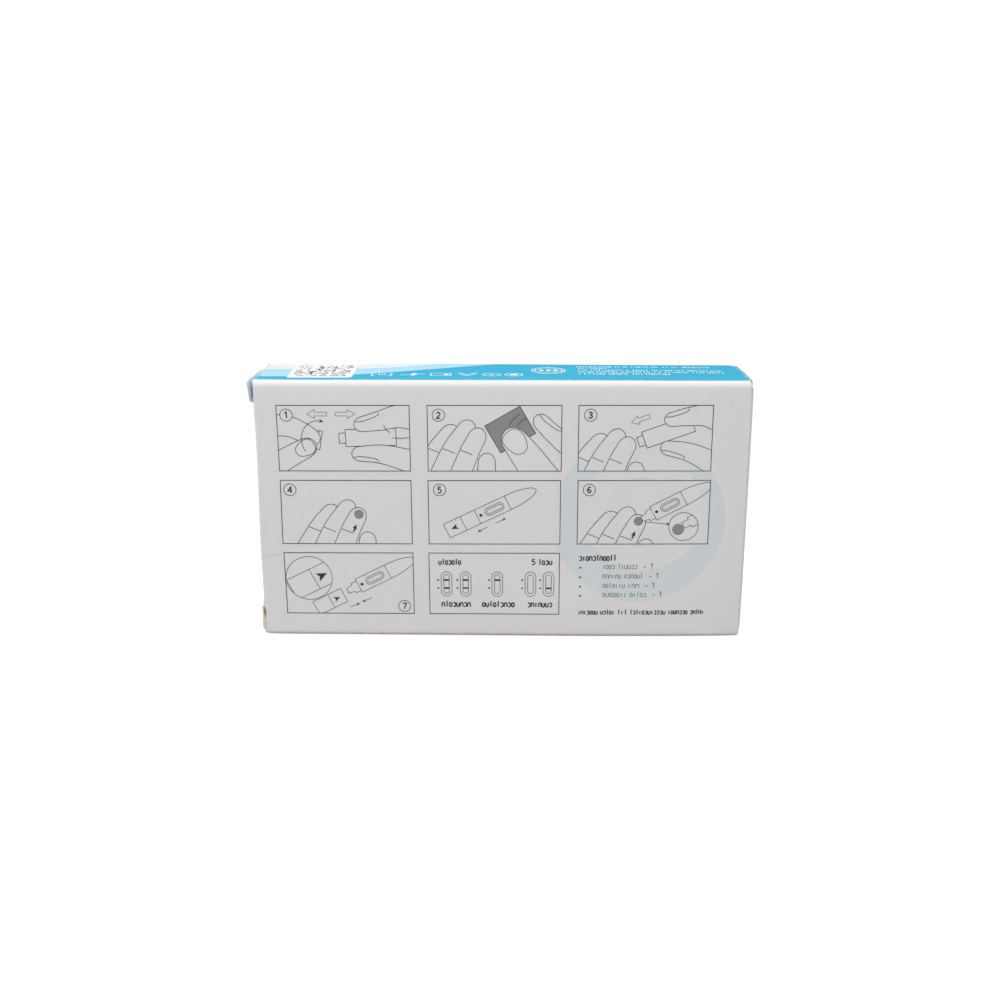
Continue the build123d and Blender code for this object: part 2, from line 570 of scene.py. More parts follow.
def on_back(flat, lift):
    """Back panel as seen from behind it: the way to the right, and z."""
    return np.stack([-flat[:, 0], np.full(len(flat), half_depth + lift), flat[:, 1]], 1)


def over_top(flat, lift):
    """Top panel with the folds before and behind it, and the back panel: x, and the way over the board."""
    x, way = flat.T
    before = np.clip((top_front - way) / front_fold, 0, math.pi / 2)
    behind = np.clip((way - back_flat) / panel_fold, 0, math.pi / 2)
    y = np.clip(way, top_front, back_flat) - (front_fold + lift) * np.sin(before)
    y += (panel_fold + lift) * np.sin(behind)
    z = carton_height + lift - (front_fold + lift) * (1 - np.cos(before))
    z -= (panel_fold + lift) * (1 - np.cos(behind))
    z -= np.clip(way - back_flat - panel_fold * math.pi / 2, 0, None)
    return np.stack([x, y, z], 1)


# Patches of print


def even(points, step):
    """The line through points, its corners kept, with marks added no further apart than a step."""
    gone = np.concatenate([[0], np.cumsum(np.linalg.norm(np.diff(points, axis=0), axis=1))])
    marks = np.unique(np.round(np.concatenate([gone, np.arange(0, gone[-1], step)]), 5))
    return np.stack([np.interp(marks, gone, points[:, k]) for k in (0, 1)], 1)


def ribbon(points, width, closed=False):
    """A line of some width: each point spread to both sides along the mitre of its two neighbours."""
    ahead = np.roll(points, -1, 0) - points
    ahead /= np.linalg.norm(ahead, axis=1, keepdims=True) + 1e-12
    if not closed:
        ahead[-1] = ahead[-2]
    behind = np.roll(ahead, 1, 0)
    if not closed:
        behind[0] = ahead[0]
    sides = np.stack([-(ahead + behind)[:, 1], (ahead + behind)[:, 0]], 1)
    mitre = sides / np.clip(1 + (ahead * behind).sum(1, keepdims=True), 0.4, None)
    count = len(points)
    i = np.arange(count if closed else count - 1)
    j = (i + 1) % count
    both = np.concatenate([points + mitre * width / 2, points - mitre * width / 2])
    return both, np.stack([i + count, j + count, j, i], 1)


def loop(outline_points, width, step=0.4):
    """A closed line of some width."""
    return ribbon(even(np.concatenate([outline_points, outline_points[:1]]), step)[:-1], width, True)


def fan(outline_points):
    """A filled outline: triangles from its middle."""
    count = len(outline_points)
    i = np.arange(count)
    j = (i + 1) % count
    points = np.concatenate([outline_points, outline_points.mean(0)[None]])
    return points, np.stack([np.full(count, count), i, j, j], 1)


ring_steps = 120
ring_rows = 5


def uneven_ring(outer_middle, outer_radius, inner_middle, inner_radius):
    """What lies between two circles with middles of their own, one inside the other."""
    outer = arc(outer_middle, outer_radius, steps=ring_steps)
    inner = arc(inner_middle, inner_radius, steps=ring_steps)
    share = np.linspace(0, 1, ring_rows + 1)[None, :, None]
    grid = inner[:, None] + (outer - inner)[:, None] * share
    return grid.reshape(-1, 2), grid_cells(every_cell(grid))[:, ::-1]


def arc(middle, radius, start=0, end=360, steps=40):
    """Points round a middle; radius may be a pair, for an ellipse."""
    angle = np.radians(np.linspace(start, end, steps + 1))
    return np.array(middle) + np.stack([np.cos(angle), np.sin(angle)], 1) * np.array(radius)


def disc(middle, radius, sides=24):
    """Outline of a circle or an ellipse."""
    return arc(middle, radius, 0, 360, sides)[:-1]


def spline(points, spans=10):
    """Smooth line through points: each span is a cubic set by its ends and their neighbours."""
    p = np.array(points, float)
    p = np.concatenate([[2 * p[0] - p[1]], p, [2 * p[-1] - p[-2]]])
    t = np.linspace(0, 1, spans, endpoint=False)[None, :, None]
    a, b, c, d = (p[k : len(p) - 3 + k, None] for k in range(4))
    curve = 0.5 * (2 * b + (c - a) * t + (2 * a - 5 * b + 4 * c - d) * t**2 + (3 * b - a - 3 * c + d) * t**3)
    return np.concatenate([curve.reshape(-1, 2), p[-2:-1]])


def turned(points, place, degrees=0, scale=1.0):
    """Points scaled and turned about their origin, then moved to a place."""
    c, s = math.cos(math.radians(degrees)), math.sin(math.radians(degrees))
    return np.array(points, float) @ np.array([[c, s], [-s, c]]) * scale + np.array(place, float)


def box_outline(width, height):
    """Rectangle about the origin."""
    return np.array([(-1, -1), (1, -1), (1, 1), (-1, 1)]) * np.array([width, height]) / 2


def round_box(width, height, radius):
    """Rectangle about the origin with round corners."""
    corners = ((1, 1, 0), (-1, 1, 90), (-1, -1, 180), (1, -1, 270))
    return np.concatenate(
        [
            arc((sx * (width / 2 - radius), sy * (height / 2 - radius)), radius, start, start + 90, 6)
            for sx, sy, start in corners
        ]
    )


# Line drawings. A shape is a line with how it is drawn: closed or open, whether it hides what was
# drawn before it, an outline that it stays within, and its tone.

Shape = namedtuple("Shape", "points closed hides within tone")


def stroke(points, tone="dark", within=None):
    """An open line."""
    return Shape(np.array(points, float), False, False, within, tone)


def outline(points, tone="dark", hides=True, within=None):
    """A closed line, which hides what was drawn before it."""
    return Shape(np.array(points, float), True, hides, within, tone)


def inside(points, border):
    """Which points lie inside a closed border, by counting the sides crossed on the way out."""
    a, b = border, np.roll(border, -1, 0)
    x, y = points[:, :1], points[:, 1:]
    crosses = (a[:, 1] > y) != (b[:, 1] > y)
    meeting = a[:, 0] + (y - a[:, 1]) * (b[:, 0] - a[:, 0]) / (b[:, 1] - a[:, 1] + 1e-12)
    return (crosses & (x < meeting)).sum(1) % 2 == 1


def drawn(shapes, border):
    """Ribbons of what shows of each shape: inside the border and not behind a later shape. Pairs of
    a tone and a patch."""
    patches = []
    for number, shape in enumerate(shapes):
        points = np.concatenate([shape.points, shape.points[:1]]) if shape.closed else shape.points
        line = even(points, stroke_step)
        seen = inside(line, border)
        if shape.within is not None:
            seen &= inside(line, shape.within)
        for later in shapes[number + 1 :]:
            if later.hides:
                seen &= ~inside(line, later.points)
        turns = np.diff(np.concatenate([[0], seen.astype(int), [0]]))
        for start, end in zip(np.flatnonzero(turns == 1), np.flatnonzero(turns == -1)):
            if shape.closed and seen.all():
                patches.append((shape.tone, ribbon(line[:-1], line_width, True)))
            elif end - start > 2:
                patches.append((shape.tone, ribbon(line[start:end], line_width)))
    return patches


finger_tip_width = 0.94
finger_tip_length = 0.56


def finger(points, width, root=1.1):
    """Outline of a finger along a line: half a width to each side, wider by a share at its root, and a
    round tip at the line's end."""
    line = spline(points)
    ahead = np.gradient(line, axis=0)
    ahead /= np.linalg.norm(ahead, axis=1, keepdims=True)
    side = np.stack([-ahead[:, 1], ahead[:, 0]], 1)
    gone = np.linspace(0, 1, len(line))[:, None]
    half = width / 2 * (root + (finger_tip_width - root) * gone)
    heading = math.degrees(math.atan2(*ahead[-1, ::-1]))
    round_tip = arc((0, 0), (width * finger_tip_length, half[-1, 0]), 90, -90, 16)
    tip = turned(round_tip, line[-1], heading)
    return np.concatenate([line + side * half, tip[1:-1], (line - side * half)[::-1]])


nail_shield = ((-0.50, 0.0), (-0.40, 0.22), (-0.06, 0.37), (0.28, 0.36), (0.44, 0.18), (0.46, 0.0))
nail_leaf = ((-1.08, 0.50), (-1.02, 0.37), (-0.62, 0.26), (0.0, 0.18), (0.44, 0.22))


def nail(points, width, side):
    """A nail at the tip of a finger: seen from above it is a shield, and from a side it is a line that
    cuts a slim leaf off the finger's outline."""
    line = spline(points)
    heading = math.degrees(math.atan2(*(line[-1] - line[-3])[::-1]))
    if side == 0:
        half = np.array(nail_shield)
        shield = spline(np.concatenate([half, (half * (1, -1))[-2::-1]])) * width
        return outline(turned(shield, line[-1], heading), hides=False)
    return stroke(turned(spline(np.array(nail_leaf) * (width, side * width)), line[-1], heading))


def fingers(*rows):
    """Fingers with their nails, each a line, a width, its share at the root and the side of its nail."""
    shapes = []
    for points, width, root, side in rows:
        shapes.append(outline(finger(points, width, root)))
        shapes.append(nail(points, width, side))
    return shapes


hand_fingers = (
    ((-2.6, -4.0), (2.6, 4.8), (6.0, 9.2), 5.0),
    ((2.0, -5.0), (6.6, 4.8), (10.4, 10.4), 5.0),
    ((7.4, -5.0), (11.2, 4.2), (13.2, 8.2), 5.0),
)
hand_thumb = ((14.6, -6.0), (15.6, -1.6), (15.8, 1.4))
hand_thumb_width = 4.8
joint_share = 0.1
joint_crease = ((-0.40, 0.22), (0, 0.06), (0.22, -0.04))
index_tip = np.array((13.7, 9.0))


def open_hand(place):
    """A raised hand: three fingers side by side, each with the crease of its joint, and a thumb."""
    shapes = []
    for base, middle, tip, width in hand_fingers:
        line = np.array((base, middle, tip)) + np.array(place)
        shapes.append(outline(finger(line, width)))
        joint = line[1] - joint_share * (line[2] - line[1])
        shapes.append(stroke(joint + np.array(joint_crease) * width))
    shapes.append(outline(finger(np.array(hand_thumb) + np.array(place), hand_thumb_width)))
    return shapes


lancet_length = 15.0
lancet_neck = 1.7
lancet_half = 2.3


def lancet(place, degrees):
    """A lancet lying along x from its tip: a short neck and a body."""
    neck = [(0, -1.3), (lancet_neck, -1.45), (lancet_neck, 1.45), (0, 1.3)]
    body = box_outline(lancet_length - lancet_neck, 2 * lancet_half) + ((lancet_length + lancet_neck) / 2, 0)
    return [outline(turned(neck, place, degrees)), outline(turned(body, place, degrees))]


# Test stick along x: where its parts begin, and their half widths
stick_cap = 7.6
stick_tip = stick_cap - 1.8
stick_collar = stick_cap + 1.6
stick_body = 18.2
stick_length = 26.5
stick_half = 2.1
collar_half = 1.5
tip_root_half = 1.0
tip_half = 0.7
cap_line = stick_cap - 2.6
stick_dot_place = 10.2
stick_dot_radius = 0.42
stick_window_place = 14.2
stick_window_sizes = ((5.4, 2.2), (4.4, 1.2))
loose_cap_length = 8.6
loose_cap_line = 0.3


def stick_outline(capped):
    """The stick: a square cap, a body and a long round nose. Uncapped, it ends in a thin tip."""
    nose = arc((stick_body, 0), (stick_length - stick_body, stick_half), -90, 90, 24)
    if capped:
        return np.concatenate([[(0, -stick_half)], nose, [(0, stick_half)]])
    tip = [(stick_tip, tip_half), (stick_tip, -tip_half)]
    collar = [(stick_cap, -tip_root_half), (stick_cap, -collar_half)]
    collar += [(stick_collar, -collar_half), (stick_collar, -stick_half)]
    mirrored = [(x, -y) for x, y in reversed(collar)]
    return np.concatenate([tip, collar, nose, mirrored])


def test_stick(place, degrees, capped):
    """The stick with its window and section lines; and the outline of its dot, which is filled."""
    shapes = [outline(turned(stick_outline(capped), place, degrees), "middle")]
    lines = [(stick_body, stick_half), (stick_collar, stick_half if capped else collar_half)]
    if capped:
        lines.append((cap_line, stick_half))
    for x, half in lines:
        shapes.append(stroke(turned([(x, -half), (x, half)], place, degrees), "middle"))
    for width, height in stick_window_sizes:
        slot = round_box(width, height, height / 2) + (stick_window_place, 0)
        shapes.append(outline(turned(slot, place, degrees), "middle", hides=False))
    return shapes, [turned(disc((stick_dot_place, 0), stick_dot_radius), place, degrees)]


def stick_by_tip(tip, degrees):
    """The uncapped stick, placed by its thin tip."""
    return test_stick(np.array(tip) - turned([(stick_tip, 0)], (0, 0), degrees)[0], degrees, False)


def cap_shapes(place, degrees, scale=1.0, within=None):
    """The stick's cap by itself, along x, with a line across it."""
    shell = turned(box_outline(loose_cap_length, 2 * stick_half), place, degrees, scale)
    ends = [(loose_cap_line, -stick_half), (loose_cap_line, stick_half)]
    mark = turned(ends, place, degrees, scale)
    return [outline(shell, "middle", within is None, within), stroke(mark, "middle", within)]


def pointer(place, degrees, size):
    """Solid arrowhead pointing along x."""
    return turned([(1, 0), (-0.7, 0.75), (-0.3, 0), (-0.7, -0.75)], place, degrees, size)


def short_arrow(place, degrees, size):
    """Solid arrow with a tail, in two outlines."""
    tail = turned(box_outline(1.5, 0.5) + (-0.9, 0), place, degrees, size)
    return [pointer(place, degrees, size), tail]


def block_arrow(place, degrees, length=5.2):
    """Hollow arrow pointing along x from its place."""
    half = 0.5
    barb = 1.2
    head = 2.0
    points = [(0, -half), (length - head, -half), (length - head, -barb), (length, 0)]
    points += [(x, -y) for x, y in reversed(points[:3])]
    return outline(turned(points, place, degrees), "pale", hides=False)


thin_arrow_head = 0.55


def thin_arrows(*ends):
    """Thin lines, each from a start to an end, and the outlines of the small solid heads at their ends."""
    lines, heads = [], []
    for start, end in ends:
        heading = math.degrees(math.atan2(*np.subtract(end, start)[::-1]))
        lines.append(stroke([start, end], "middle"))
        heads.append(pointer(end, heading, thin_arrow_head))
    return lines, heads


def drop_arrow(tip):
    """Solid arrow that points up a finger to the drop on its tip."""
    return short_arrow(tip + (-1.1, -3.6), 68, 0.85)


# Pictures of the steps, each in a frame of its own with its origin at the lower left. Each step
# gives its shapes, its solid marks, its grey fills and its white knock-outs.

frame_width = 34.85
frame_height = 17.7
frame_columns = 3
frame_rows = 3
first_frame_left = -59.2
column_pitch = 39.55
row_pitch = 20.3
last_row_foot = 6.4
number_place = np.array((2.6, 15.1))
number_drift = np.array((0.22, 0.0))
last_number_place = np.array((32.3, 2.4))
number_radius = 1.62

# How far each frame's left and right rules stand off the even grid, and the feet of the last row
frame_trim = (
    (0.09, -0.07),
    (-0.08, 0.22),
    (-0.05, 0.02),
    (0.17, -0.03),
    (-0.2, 0.09),
    (0.03, 0.16),
    (0.27, 0.04),
    (-0.34, 0.03),
)
last_row_trim = 0.22


def frame_row(number):
    """Row of a frame, counted from 0 at the foot; the frames are counted from 0 along the rows."""
    return frame_rows - 1 - number // frame_columns


def frame_outline(number):
    """Rules of one frame, about its place."""
    left, right = frame_trim[number]
    foot = last_row_trim if frame_row(number) == 0 else 0
    right += frame_width
    return np.array([(left, foot), (right, foot), (right, frame_height), (left, frame_height)])


def frame_place(number):
    """Lower left corner of a frame."""
    left = first_frame_left + number % frame_columns * column_pitch
    return np.array((left, last_row_foot + frame_row(number) * row_pitch))


def step_twist():
    """Twisting the cap off a lancet between two hands."""
    shapes = [outline([(10.0, 6.0), (11.0, 5.8), (11.9, 10.8), (10.9, 11.0)])]
    shapes.append(outline(finger(((-4, 12.4), (2.4, 12.2), (6.6, 10.6), (8.6, 9.4)), 5.0, 1.2)))
    shapes += fingers((((-6, -2.2), (0.6, 2.4), (4.6, 4.8), (7.2, 6.2)), 5.6, 1.1, 0))
    shapes += lancet((16.2, 8.9), 1.5)
    shapes += fingers(
        (((41, 13.0), (33, 14.8), (27, 13.6), (22.6, 12.7)), 4.3, 1.7, -1),
        (((41, 0.4), (33, 3.2), (27, 4.6), (21.8, 4.7)), 4.3, 1.6, 1),
    )
    creases = (((28, 12.4), (28.6, 11.2), (29.6, 10.4)), ((30.2, 9.0), (33, 8.9), (36, 9.4)))
    shapes += [stroke(spline(line)) for line in creases]
    shapes.append(stroke(arc((10.6, 8.5), (4.3, 5.1), 218, 82, 30)))
    shapes += [block_arrow((13.2, 15.4), 180), block_arrow((15.4, 15.4), 0)]
    return shapes, [pointer((11.6, 13.5), -8, 0.75)], [], []


def step_wipe():
    """Wiping a fingertip with a pad."""
    pad = turned(box_outline(10.6, 8.4), (21.6, 11.2), 30)
    behind = ((43, 1.5), (36.8, 6.6), (32.8, 10.2), (30.0, 13.0))
    thumb = ((38, -12), (31.0, -3.0), (25.8, 4.2), (23.0, 7.9))
    thumb_width = 7.4
    shapes = open_hand((-0.4, 0.8)) + fingers((behind, 4.6, 1.2, -1))
    shapes += [outline(pad), *fingers((thumb, thumb_width, 1.35, 0))]
    wrinkles = (((21.2, 12.3), (22.4, 14.0), (24.2, 15.4)), ((23.4, 12.2), (24.4, 13.4), (25.8, 14.3)))
    shapes += [stroke(spline(line)) for line in wrinkles]
    return shapes, [], [pad], [finger((thumb[2], (24.4, 6.0), thumb[3]), thumb_width)]


def step_prick():
    """Pricking the fingertip."""
    shapes = open_hand((-0.6, -1.6))
    shapes += lancet((15.6, 7.8), 20)
    shapes += fingers(
        (((41, 11.4), (34, 14.8), (28.8, 14.7), (24.6, 14.0)), 4.1, 1.7, -1),
        (((41, -2.0), (34, 2.8), (28.8, 5.2), (23.8, 6.2)), 4.2, 1.6, 1),
    )
    shapes.append(block_arrow((18.4, 14.8), 200, 5.0))
    return shapes, [], [], []


def step_drop():
    """A drop pressed out of the fingertip."""
    place = np.array((7.0, -0.7))
    tip = place + index_tip
    return open_hand(place), drop_arrow(tip), [disc(tip, 1.3)], []


def step_open():
    """Pulling the cap off the stick."""
    place, lean = (4.6, 3.6), 26
    shapes, marks = test_stick(place, lean, True)
    marks.append(pointer(turned([(2.5, 0)], place, lean)[0], 180 + lean, 1.1))
    lines, heads = thin_arrows(((15.6, 4.8), (13.4, 3.7)), ((17.8, 5.9), (20.0, 7.0)))
    return shapes + lines, marks + heads, [], []


def step_touch():
    """The stick's tip in the drop, and the tip again in a round inset."""
    place = np.array((2.6, -2.6))
    lean = 28
    tip = place + index_tip
    stick, marks = stick_by_tip(tip + (0.9, 0.6), lean)
    inset = disc((28.4, 4.9), 3.9, 60)
    near = [(-4, -1.5), (0, -1.5), (0, -0.9), (1.9, -0.9), (1.9, 0.9), (0, 0.9), (0, 1.5), (-4, 1.5)]
    lines, heads = thin_arrows((tip + (2.0, -0.2), (24.2, 5.6)))
    shapes = open_hand(place) + stick + lines + [outline(inset, "middle")]
    shapes.append(stroke(turned(near, (30.0, 6.1), 180 + lean), "middle", inset))
    drops = [disc(tip, 1.25), disc((27.0, 4.1), 1.6)]
    return shapes, marks + heads + drop_arrow(tip), drops, []


def step_close():
    """The cap going back on, and the cap again in a round inset."""
    lean = 27
    shapes, marks = stick_by_tip((16.9, 6.7), lean)
    inset = disc((6.6, 10.4), 6.2, 60)
    shapes += cap_shapes((12.0, 3.6), lean) + [outline(inset, "middle")]
    shapes += cap_shapes((7.6, 9.9), lean, 1.5, inset)
    marks += [pointer((13.8, 4.5), lean, 1.0), pointer((9.9, 11.1), lean, 1.7)]
    lines, heads = thin_arrows(((17.4, 2.0), (19.6, 3.0)), ((23.4, 4.8), (21.2, 3.8)))
    return shapes + lines, marks + heads, [], []


steps = (step_twist, step_wipe, step_prick, step_drop, step_open, step_touch, step_close)

digit_lines = {
    1: [[(0.08, 0.76), (0.36, 1.0), (0.36, 0.0)]],
    2: [[*spline([(0.03, 0.74), (0.3, 1.0), (0.56, 0.74), (0.34, 0.36), (0.02, 0.0)]), (0.6, 0.0)]],
    3: [
        spline([(0.03, 0.8), (0.3, 1.0), (0.54, 0.76), (0.26, 0.54)]),
        spline([(0.26, 0.54), (0.58, 0.27), (0.28, 0.0), (0.0, 0.2)]),
    ],
    4: [[(0.46, 0.0), (0.46, 1.0), (0.0, 0.3), (0.64, 0.3)]],
    5: [
        [(0.54, 1.0), (0.12, 1.0), (0.06, 0.54)],
        spline([(0.06, 0.54), (0.32, 0.64), (0.58, 0.32), (0.3, 0.0), (0.0, 0.16)]),
    ],
    6: [
        spline([(0.54, 0.86), (0.32, 1.0), (0.08, 0.66), (0.06, 0.3), (0.3, 0.0), (0.57, 0.3), (0.3, 0.58)]),
        spline([(0.3, 0.58), (0.14, 0.52), (0.06, 0.3)]),
    ],
    7: [[(0.02, 1.0), (0.6, 1.0), (0.22, 0.0)]],
}


def digit(number, middle, height=1.66, width=0.34):
    """A plain figure about a middle."""
    return [
        ribbon(even((np.array(line) - (0.31, 0.5)) * height + middle, 0.12), width)
        for line in digit_lines[number]
    ]


def placed(patches, place):
    """Patches set down at a place."""
    return [(points + np.array(place), cells) for points, cells in patches]


arch = np.concatenate([[(-1, -1)], arc((0, 0), (1, 1), 180, 0, 10), [(1, -1)]])
word_marks = (
    arch,
    arch * (1, -1),
    arc((0, 0), (1, 1), 0, 360, 14),
    arc((0, 0), (1, 1), 135, -135, 12),
    np.array([(0, -1), (0, 1.9)]),
    np.array([(-0.2, -1), (-0.2, 1.0)]),
)


# Marks in place of letters: a mark's pitch, half width and middle, the gap after a word, and line weights
mark_pitch = 0.84
mark_half = 0.36
mark_middle = 0.45
word_gap = 0.65
light_weight = 0.17
plain_weight = 0.2
bold_weight = 0.32


def greeked(seed, left, level, lengths, height, weight=plain_weight):
    """A line that stands for words and spells none: rows of arches, cups, rings and stems at random."""
    draw = np.random.default_rng(seed)
    patches = []
    start = left
    for length in lengths:
        count = max(1, round(length / (height * mark_pitch)))
        pitch = length / count
        for k, kind in enumerate(draw.integers(0, len(word_marks), count)):
            middle = (start + (k + mark_middle) * pitch, level)
            mark = word_marks[kind] * (mark_half * pitch, height / 2) + middle
            patches.append(ribbon(mark, weight * height))
        start += length + height * word_gap
    return patches


def word_lines(rows):
    """Lines that stand for words, each a row of what greeked() takes."""
    return [patch for row in rows for patch in greeked(*row)]


# Result frame: each window's middle with the state of its upper and lower band, and their sizes
shown, pale_shown, absent = 2, 1, 0
window_bands = (
    (4.3, shown, shown),
    (9.5, shown, pale_shown),
    (18.1, shown, absent),
    (27.1, absent, absent),
    (32.0, absent, shown),
)
window_level = 8.85
window_sizes = ((2.9, 7.0), (1.5, 5.4))
band_level = 1.15
band_size = (1.4, 0.5)
side_mark_size = (0.5, 0.42)
side_mark_shift = -2.25
heading_level = 15.0
group_level = 2.9
result_lines = (
    (21, 2.2, heading_level, (6.2,), 1.1, bold_weight),
    (22, 29.2, heading_level, (3.8,), 1.1, bold_weight),
    (23, 2.9, group_level, (8.0,), 1.15, bold_weight),
    (24, 13.9, group_level, (9.0,), 1.15, bold_weight),
    (25, 26.3, group_level, (6.8,), 1.15, bold_weight),
)
heading_figure_place = (27.9, 15.2)


def result_panel():
    """Result frame: a heading, five windows in three groups, and a line for the name of each group.
    Gives the outlines of the windows with their pale bands, the dark bands, and what stands for words."""
    outlines, ticks = [], []
    for x, upper, lower in window_bands:
        middle = np.array((x, window_level))
        for width, height in window_sizes:
            outlines.append(loop(round_box(width, height, width / 2) + middle, line_width))
        for state, level in ((upper, band_level), (lower, -band_level)):
            band = fan(box_outline(*band_size) + middle + (0, level))
            if state == shown:
                ticks.append(band)
            if state == pale_shown:
                outlines.append(band)
            ticks.append(fan(box_outline(*side_mark_size) + middle + (side_mark_shift, level)))
    return outlines, ticks, word_lines(result_lines) + digit(5, heading_figure_place, 1.5, 0.3)


# List beside the result frame: its heading, its rows and the line that closes it
list_left = 20.5
list_text = 26.9
list_height = 1.1
list_bold_lines = (
    (31, list_left, 22.6, (10.2,), 1.15, bold_weight),
    (32, list_left, 7.1, (5.4, 4.0, 2.8, 9.8, 5.4, 3.8), 0.96, bold_weight),
)
list_rows = (
    (33, 20.2, (3.4, 5.4)),
    (34, 17.5, (5.2, 5.2)),
    (35, 14.8, (6.2, 3.2)),
    (36, 12.2, (6.8, 4.6)),
)
bullet_size = (0.5, 0.5)
bullet_shift = (0.4, -0.2)
dash_size = (0.7, 0.22)
dash_gap = 2.6
count_shift = (1.9, 0.2)


def contents_block():
    """A list beside the result frame: bold lines, and plain lines with bullets and a figure each."""
    bold, plain = word_lines(list_bold_lines), []
    for seed, level, lengths in list_rows:
        bold.append(fan(box_outline(*bullet_size) + np.add((list_left, level), bullet_shift)))
        plain += greeked(seed, list_text, level, lengths, list_height, light_weight)
        end = (list_text + sum(lengths) + dash_gap, level)
        plain.append(fan(box_outline(*dash_size) + end))
        plain += digit(1, np.add(end, count_shift), 1.4, 0.22)
    return bold, plain


# Finishes


def node(tree, kind, sockets=(), **settings):
    """New shader node with its settings, and its sockets: a link from another node, or a value."""
    made = tree.nodes.new("ShaderNode" + kind)
    for name, value in settings.items():
        setattr(made, name, value)
    for socket, value in dict(sockets).items():
        if isinstance(value, bpy.types.NodeSocket):
            tree.links.new(value, made.inputs[socket])
        else:
            made.inputs[socket].default_value = value
    return made


def ramp(tree, value, start, end, low=0.0, high=1.0):
    """A number that goes from low to high while a value goes from start to end."""
    ends = {"From Min": start, "From Max": end, "To Min": low, "To Max": high}
    return node(tree, "MapRange", {"Value": value, **ends}).outputs[0]


def clouds(tree, size, low, high, detail=2.0):
    """Cloudy number between low and high, with clouds of a size in millimetres."""
    place = node(tree, "TexCoord").outputs["Object"]
    cloud = node(tree, "TexNoise", {"Vector": place, "Scale": 1 / (size * mm), "Detail": detail})
    return ramp(tree, cloud.outputs[0], 0.3, 0.7, low, high)


def point_number(tree, name):
    """A number that a piece has at each of its points."""
    return node(tree, "Attribute", attribute_name=name).outputs["Fac"]


def sums(tree, operation, first, second=0.0):
    """What an operation makes of two numbers, each a link or a value."""
    return node(tree, "Math", {0: first, 1: second}, operation=operation).outputs[0]


def blend_colours(tree, share, first, second):
    """The first colour, giving way to the second by a share."""
    pair = {"Factor": share, 6: first, 7: second}
    return node(tree, "Mix", pair, data_type="RGBA").outputs[2]


def opaque(colour):
    """A colour with its alpha."""
    return (*colour, 1.0)


def shader(name, colour, roughness, gloss=0.25):
    """New material, its tree and its principled shader, of one colour, roughness and gloss."""
    made = bpy.data.materials.new(name)
    made.use_nodes = True
    surface = made.node_tree.nodes["Principled BSDF"]
    surface.inputs["Base Color"].default_value = opaque(colour)
    surface.inputs["Roughness"].default_value = roughness
    surface.inputs["Specular IOR Level"].default_value = gloss
    made.diffuse_color = opaque(colour)
    return made, made.node_tree, surface


def place_parts(tree):
    """x, y and z of the carton, in metres."""
    place = node(tree, "TexCoord").outputs["Object"]
    return node(tree, "SeparateXYZ", {0: place}).outputs


ink_gloss = 0.06
board_white = (0.850, 0.838, 0.838)
board_grey = (0.820, 0.808, 0.808)
worn_white = (0.90, 0.895, 0.89)
# Brown of the painted warm bounce light at the foot, and of the bare board at a shoulder's free end
bounce_and_bare_brown = (0.63, 0.46, 0.35)
black_ink = (0.040, 0.038, 0.036)
bold_ink = (0.060, 0.060, 0.062)
plain_ink = (0.17, 0.17, 0.175)
middle_line_ink = (0.13, 0.13, 0.13)
pale_line_ink = (0.27, 0.27, 0.27)
grey_ink = (0.30, 0.295, 0.295)
blue_ink = (0.062, 0.450, 0.667)
light_blue_ink = (0.430, 0.723, 0.861)
lavender_ink = (0.756, 0.800, 0.846)
bleed_blue = (0.26, 0.54, 0.65)
bleed_light = (0.40, 0.60, 0.68)
bleed_pale = (0.76, 0.765, 0.765)
bleed_rim = (0.80, 0.79, 0.77)
# Dark line along the right crease: painted shade of its groove, partly ink that the crease has cracked
groove_shade_ink = (0.24, 0.35, 0.41)
cracked_ink = (0.50, 0.44, 0.38)
full_tint = (0.86, 0.935, 0.965)
# Shoulder colours: painted shade beside the slit, the blue print, and pale where the coating is worn, with a
# painted sheen
shoulder_painted_shade = (0.10, 0.18, 0.22)
shoulder_blue = (0.45, 0.60, 0.72)
shoulder_worn_and_sheen = (0.72, 0.80, 0.78)
faint_tint = (0.955, 0.98, 0.985)
# Grey of the clear film, which darkens the board under it as painted shade
film_shade_grey = (0.62, 0.62, 0.61)
film_index = 1.47

# Pale and dark fibre of the bare board: inside, where it is cut, dark brown as painted shade in the mouth of
# the left slit, and where it is frayed
raw_fibre = ((0.66, 0.60, 0.52), (0.52, 0.46, 0.39))
cut_fibre = ((0.95, 0.87, 0.75), (0.84, 0.74, 0.61))
slit_shade_fibre = ((0.66, 0.44, 0.28), (0.48, 0.31, 0.19))
frayed_fibre = ((0.86, 0.77, 0.64), (0.78, 0.68, 0.55))

# How high the painted warm bounce light reaches up the foot, fading between two levels, and where the left
# bleed lightens and fades, along y
foot_bounce_levels = (1.5, 0.3)
bleed_lightens = (-7.0, -4.5)
bleed_fades = (-4.5, 4.0)


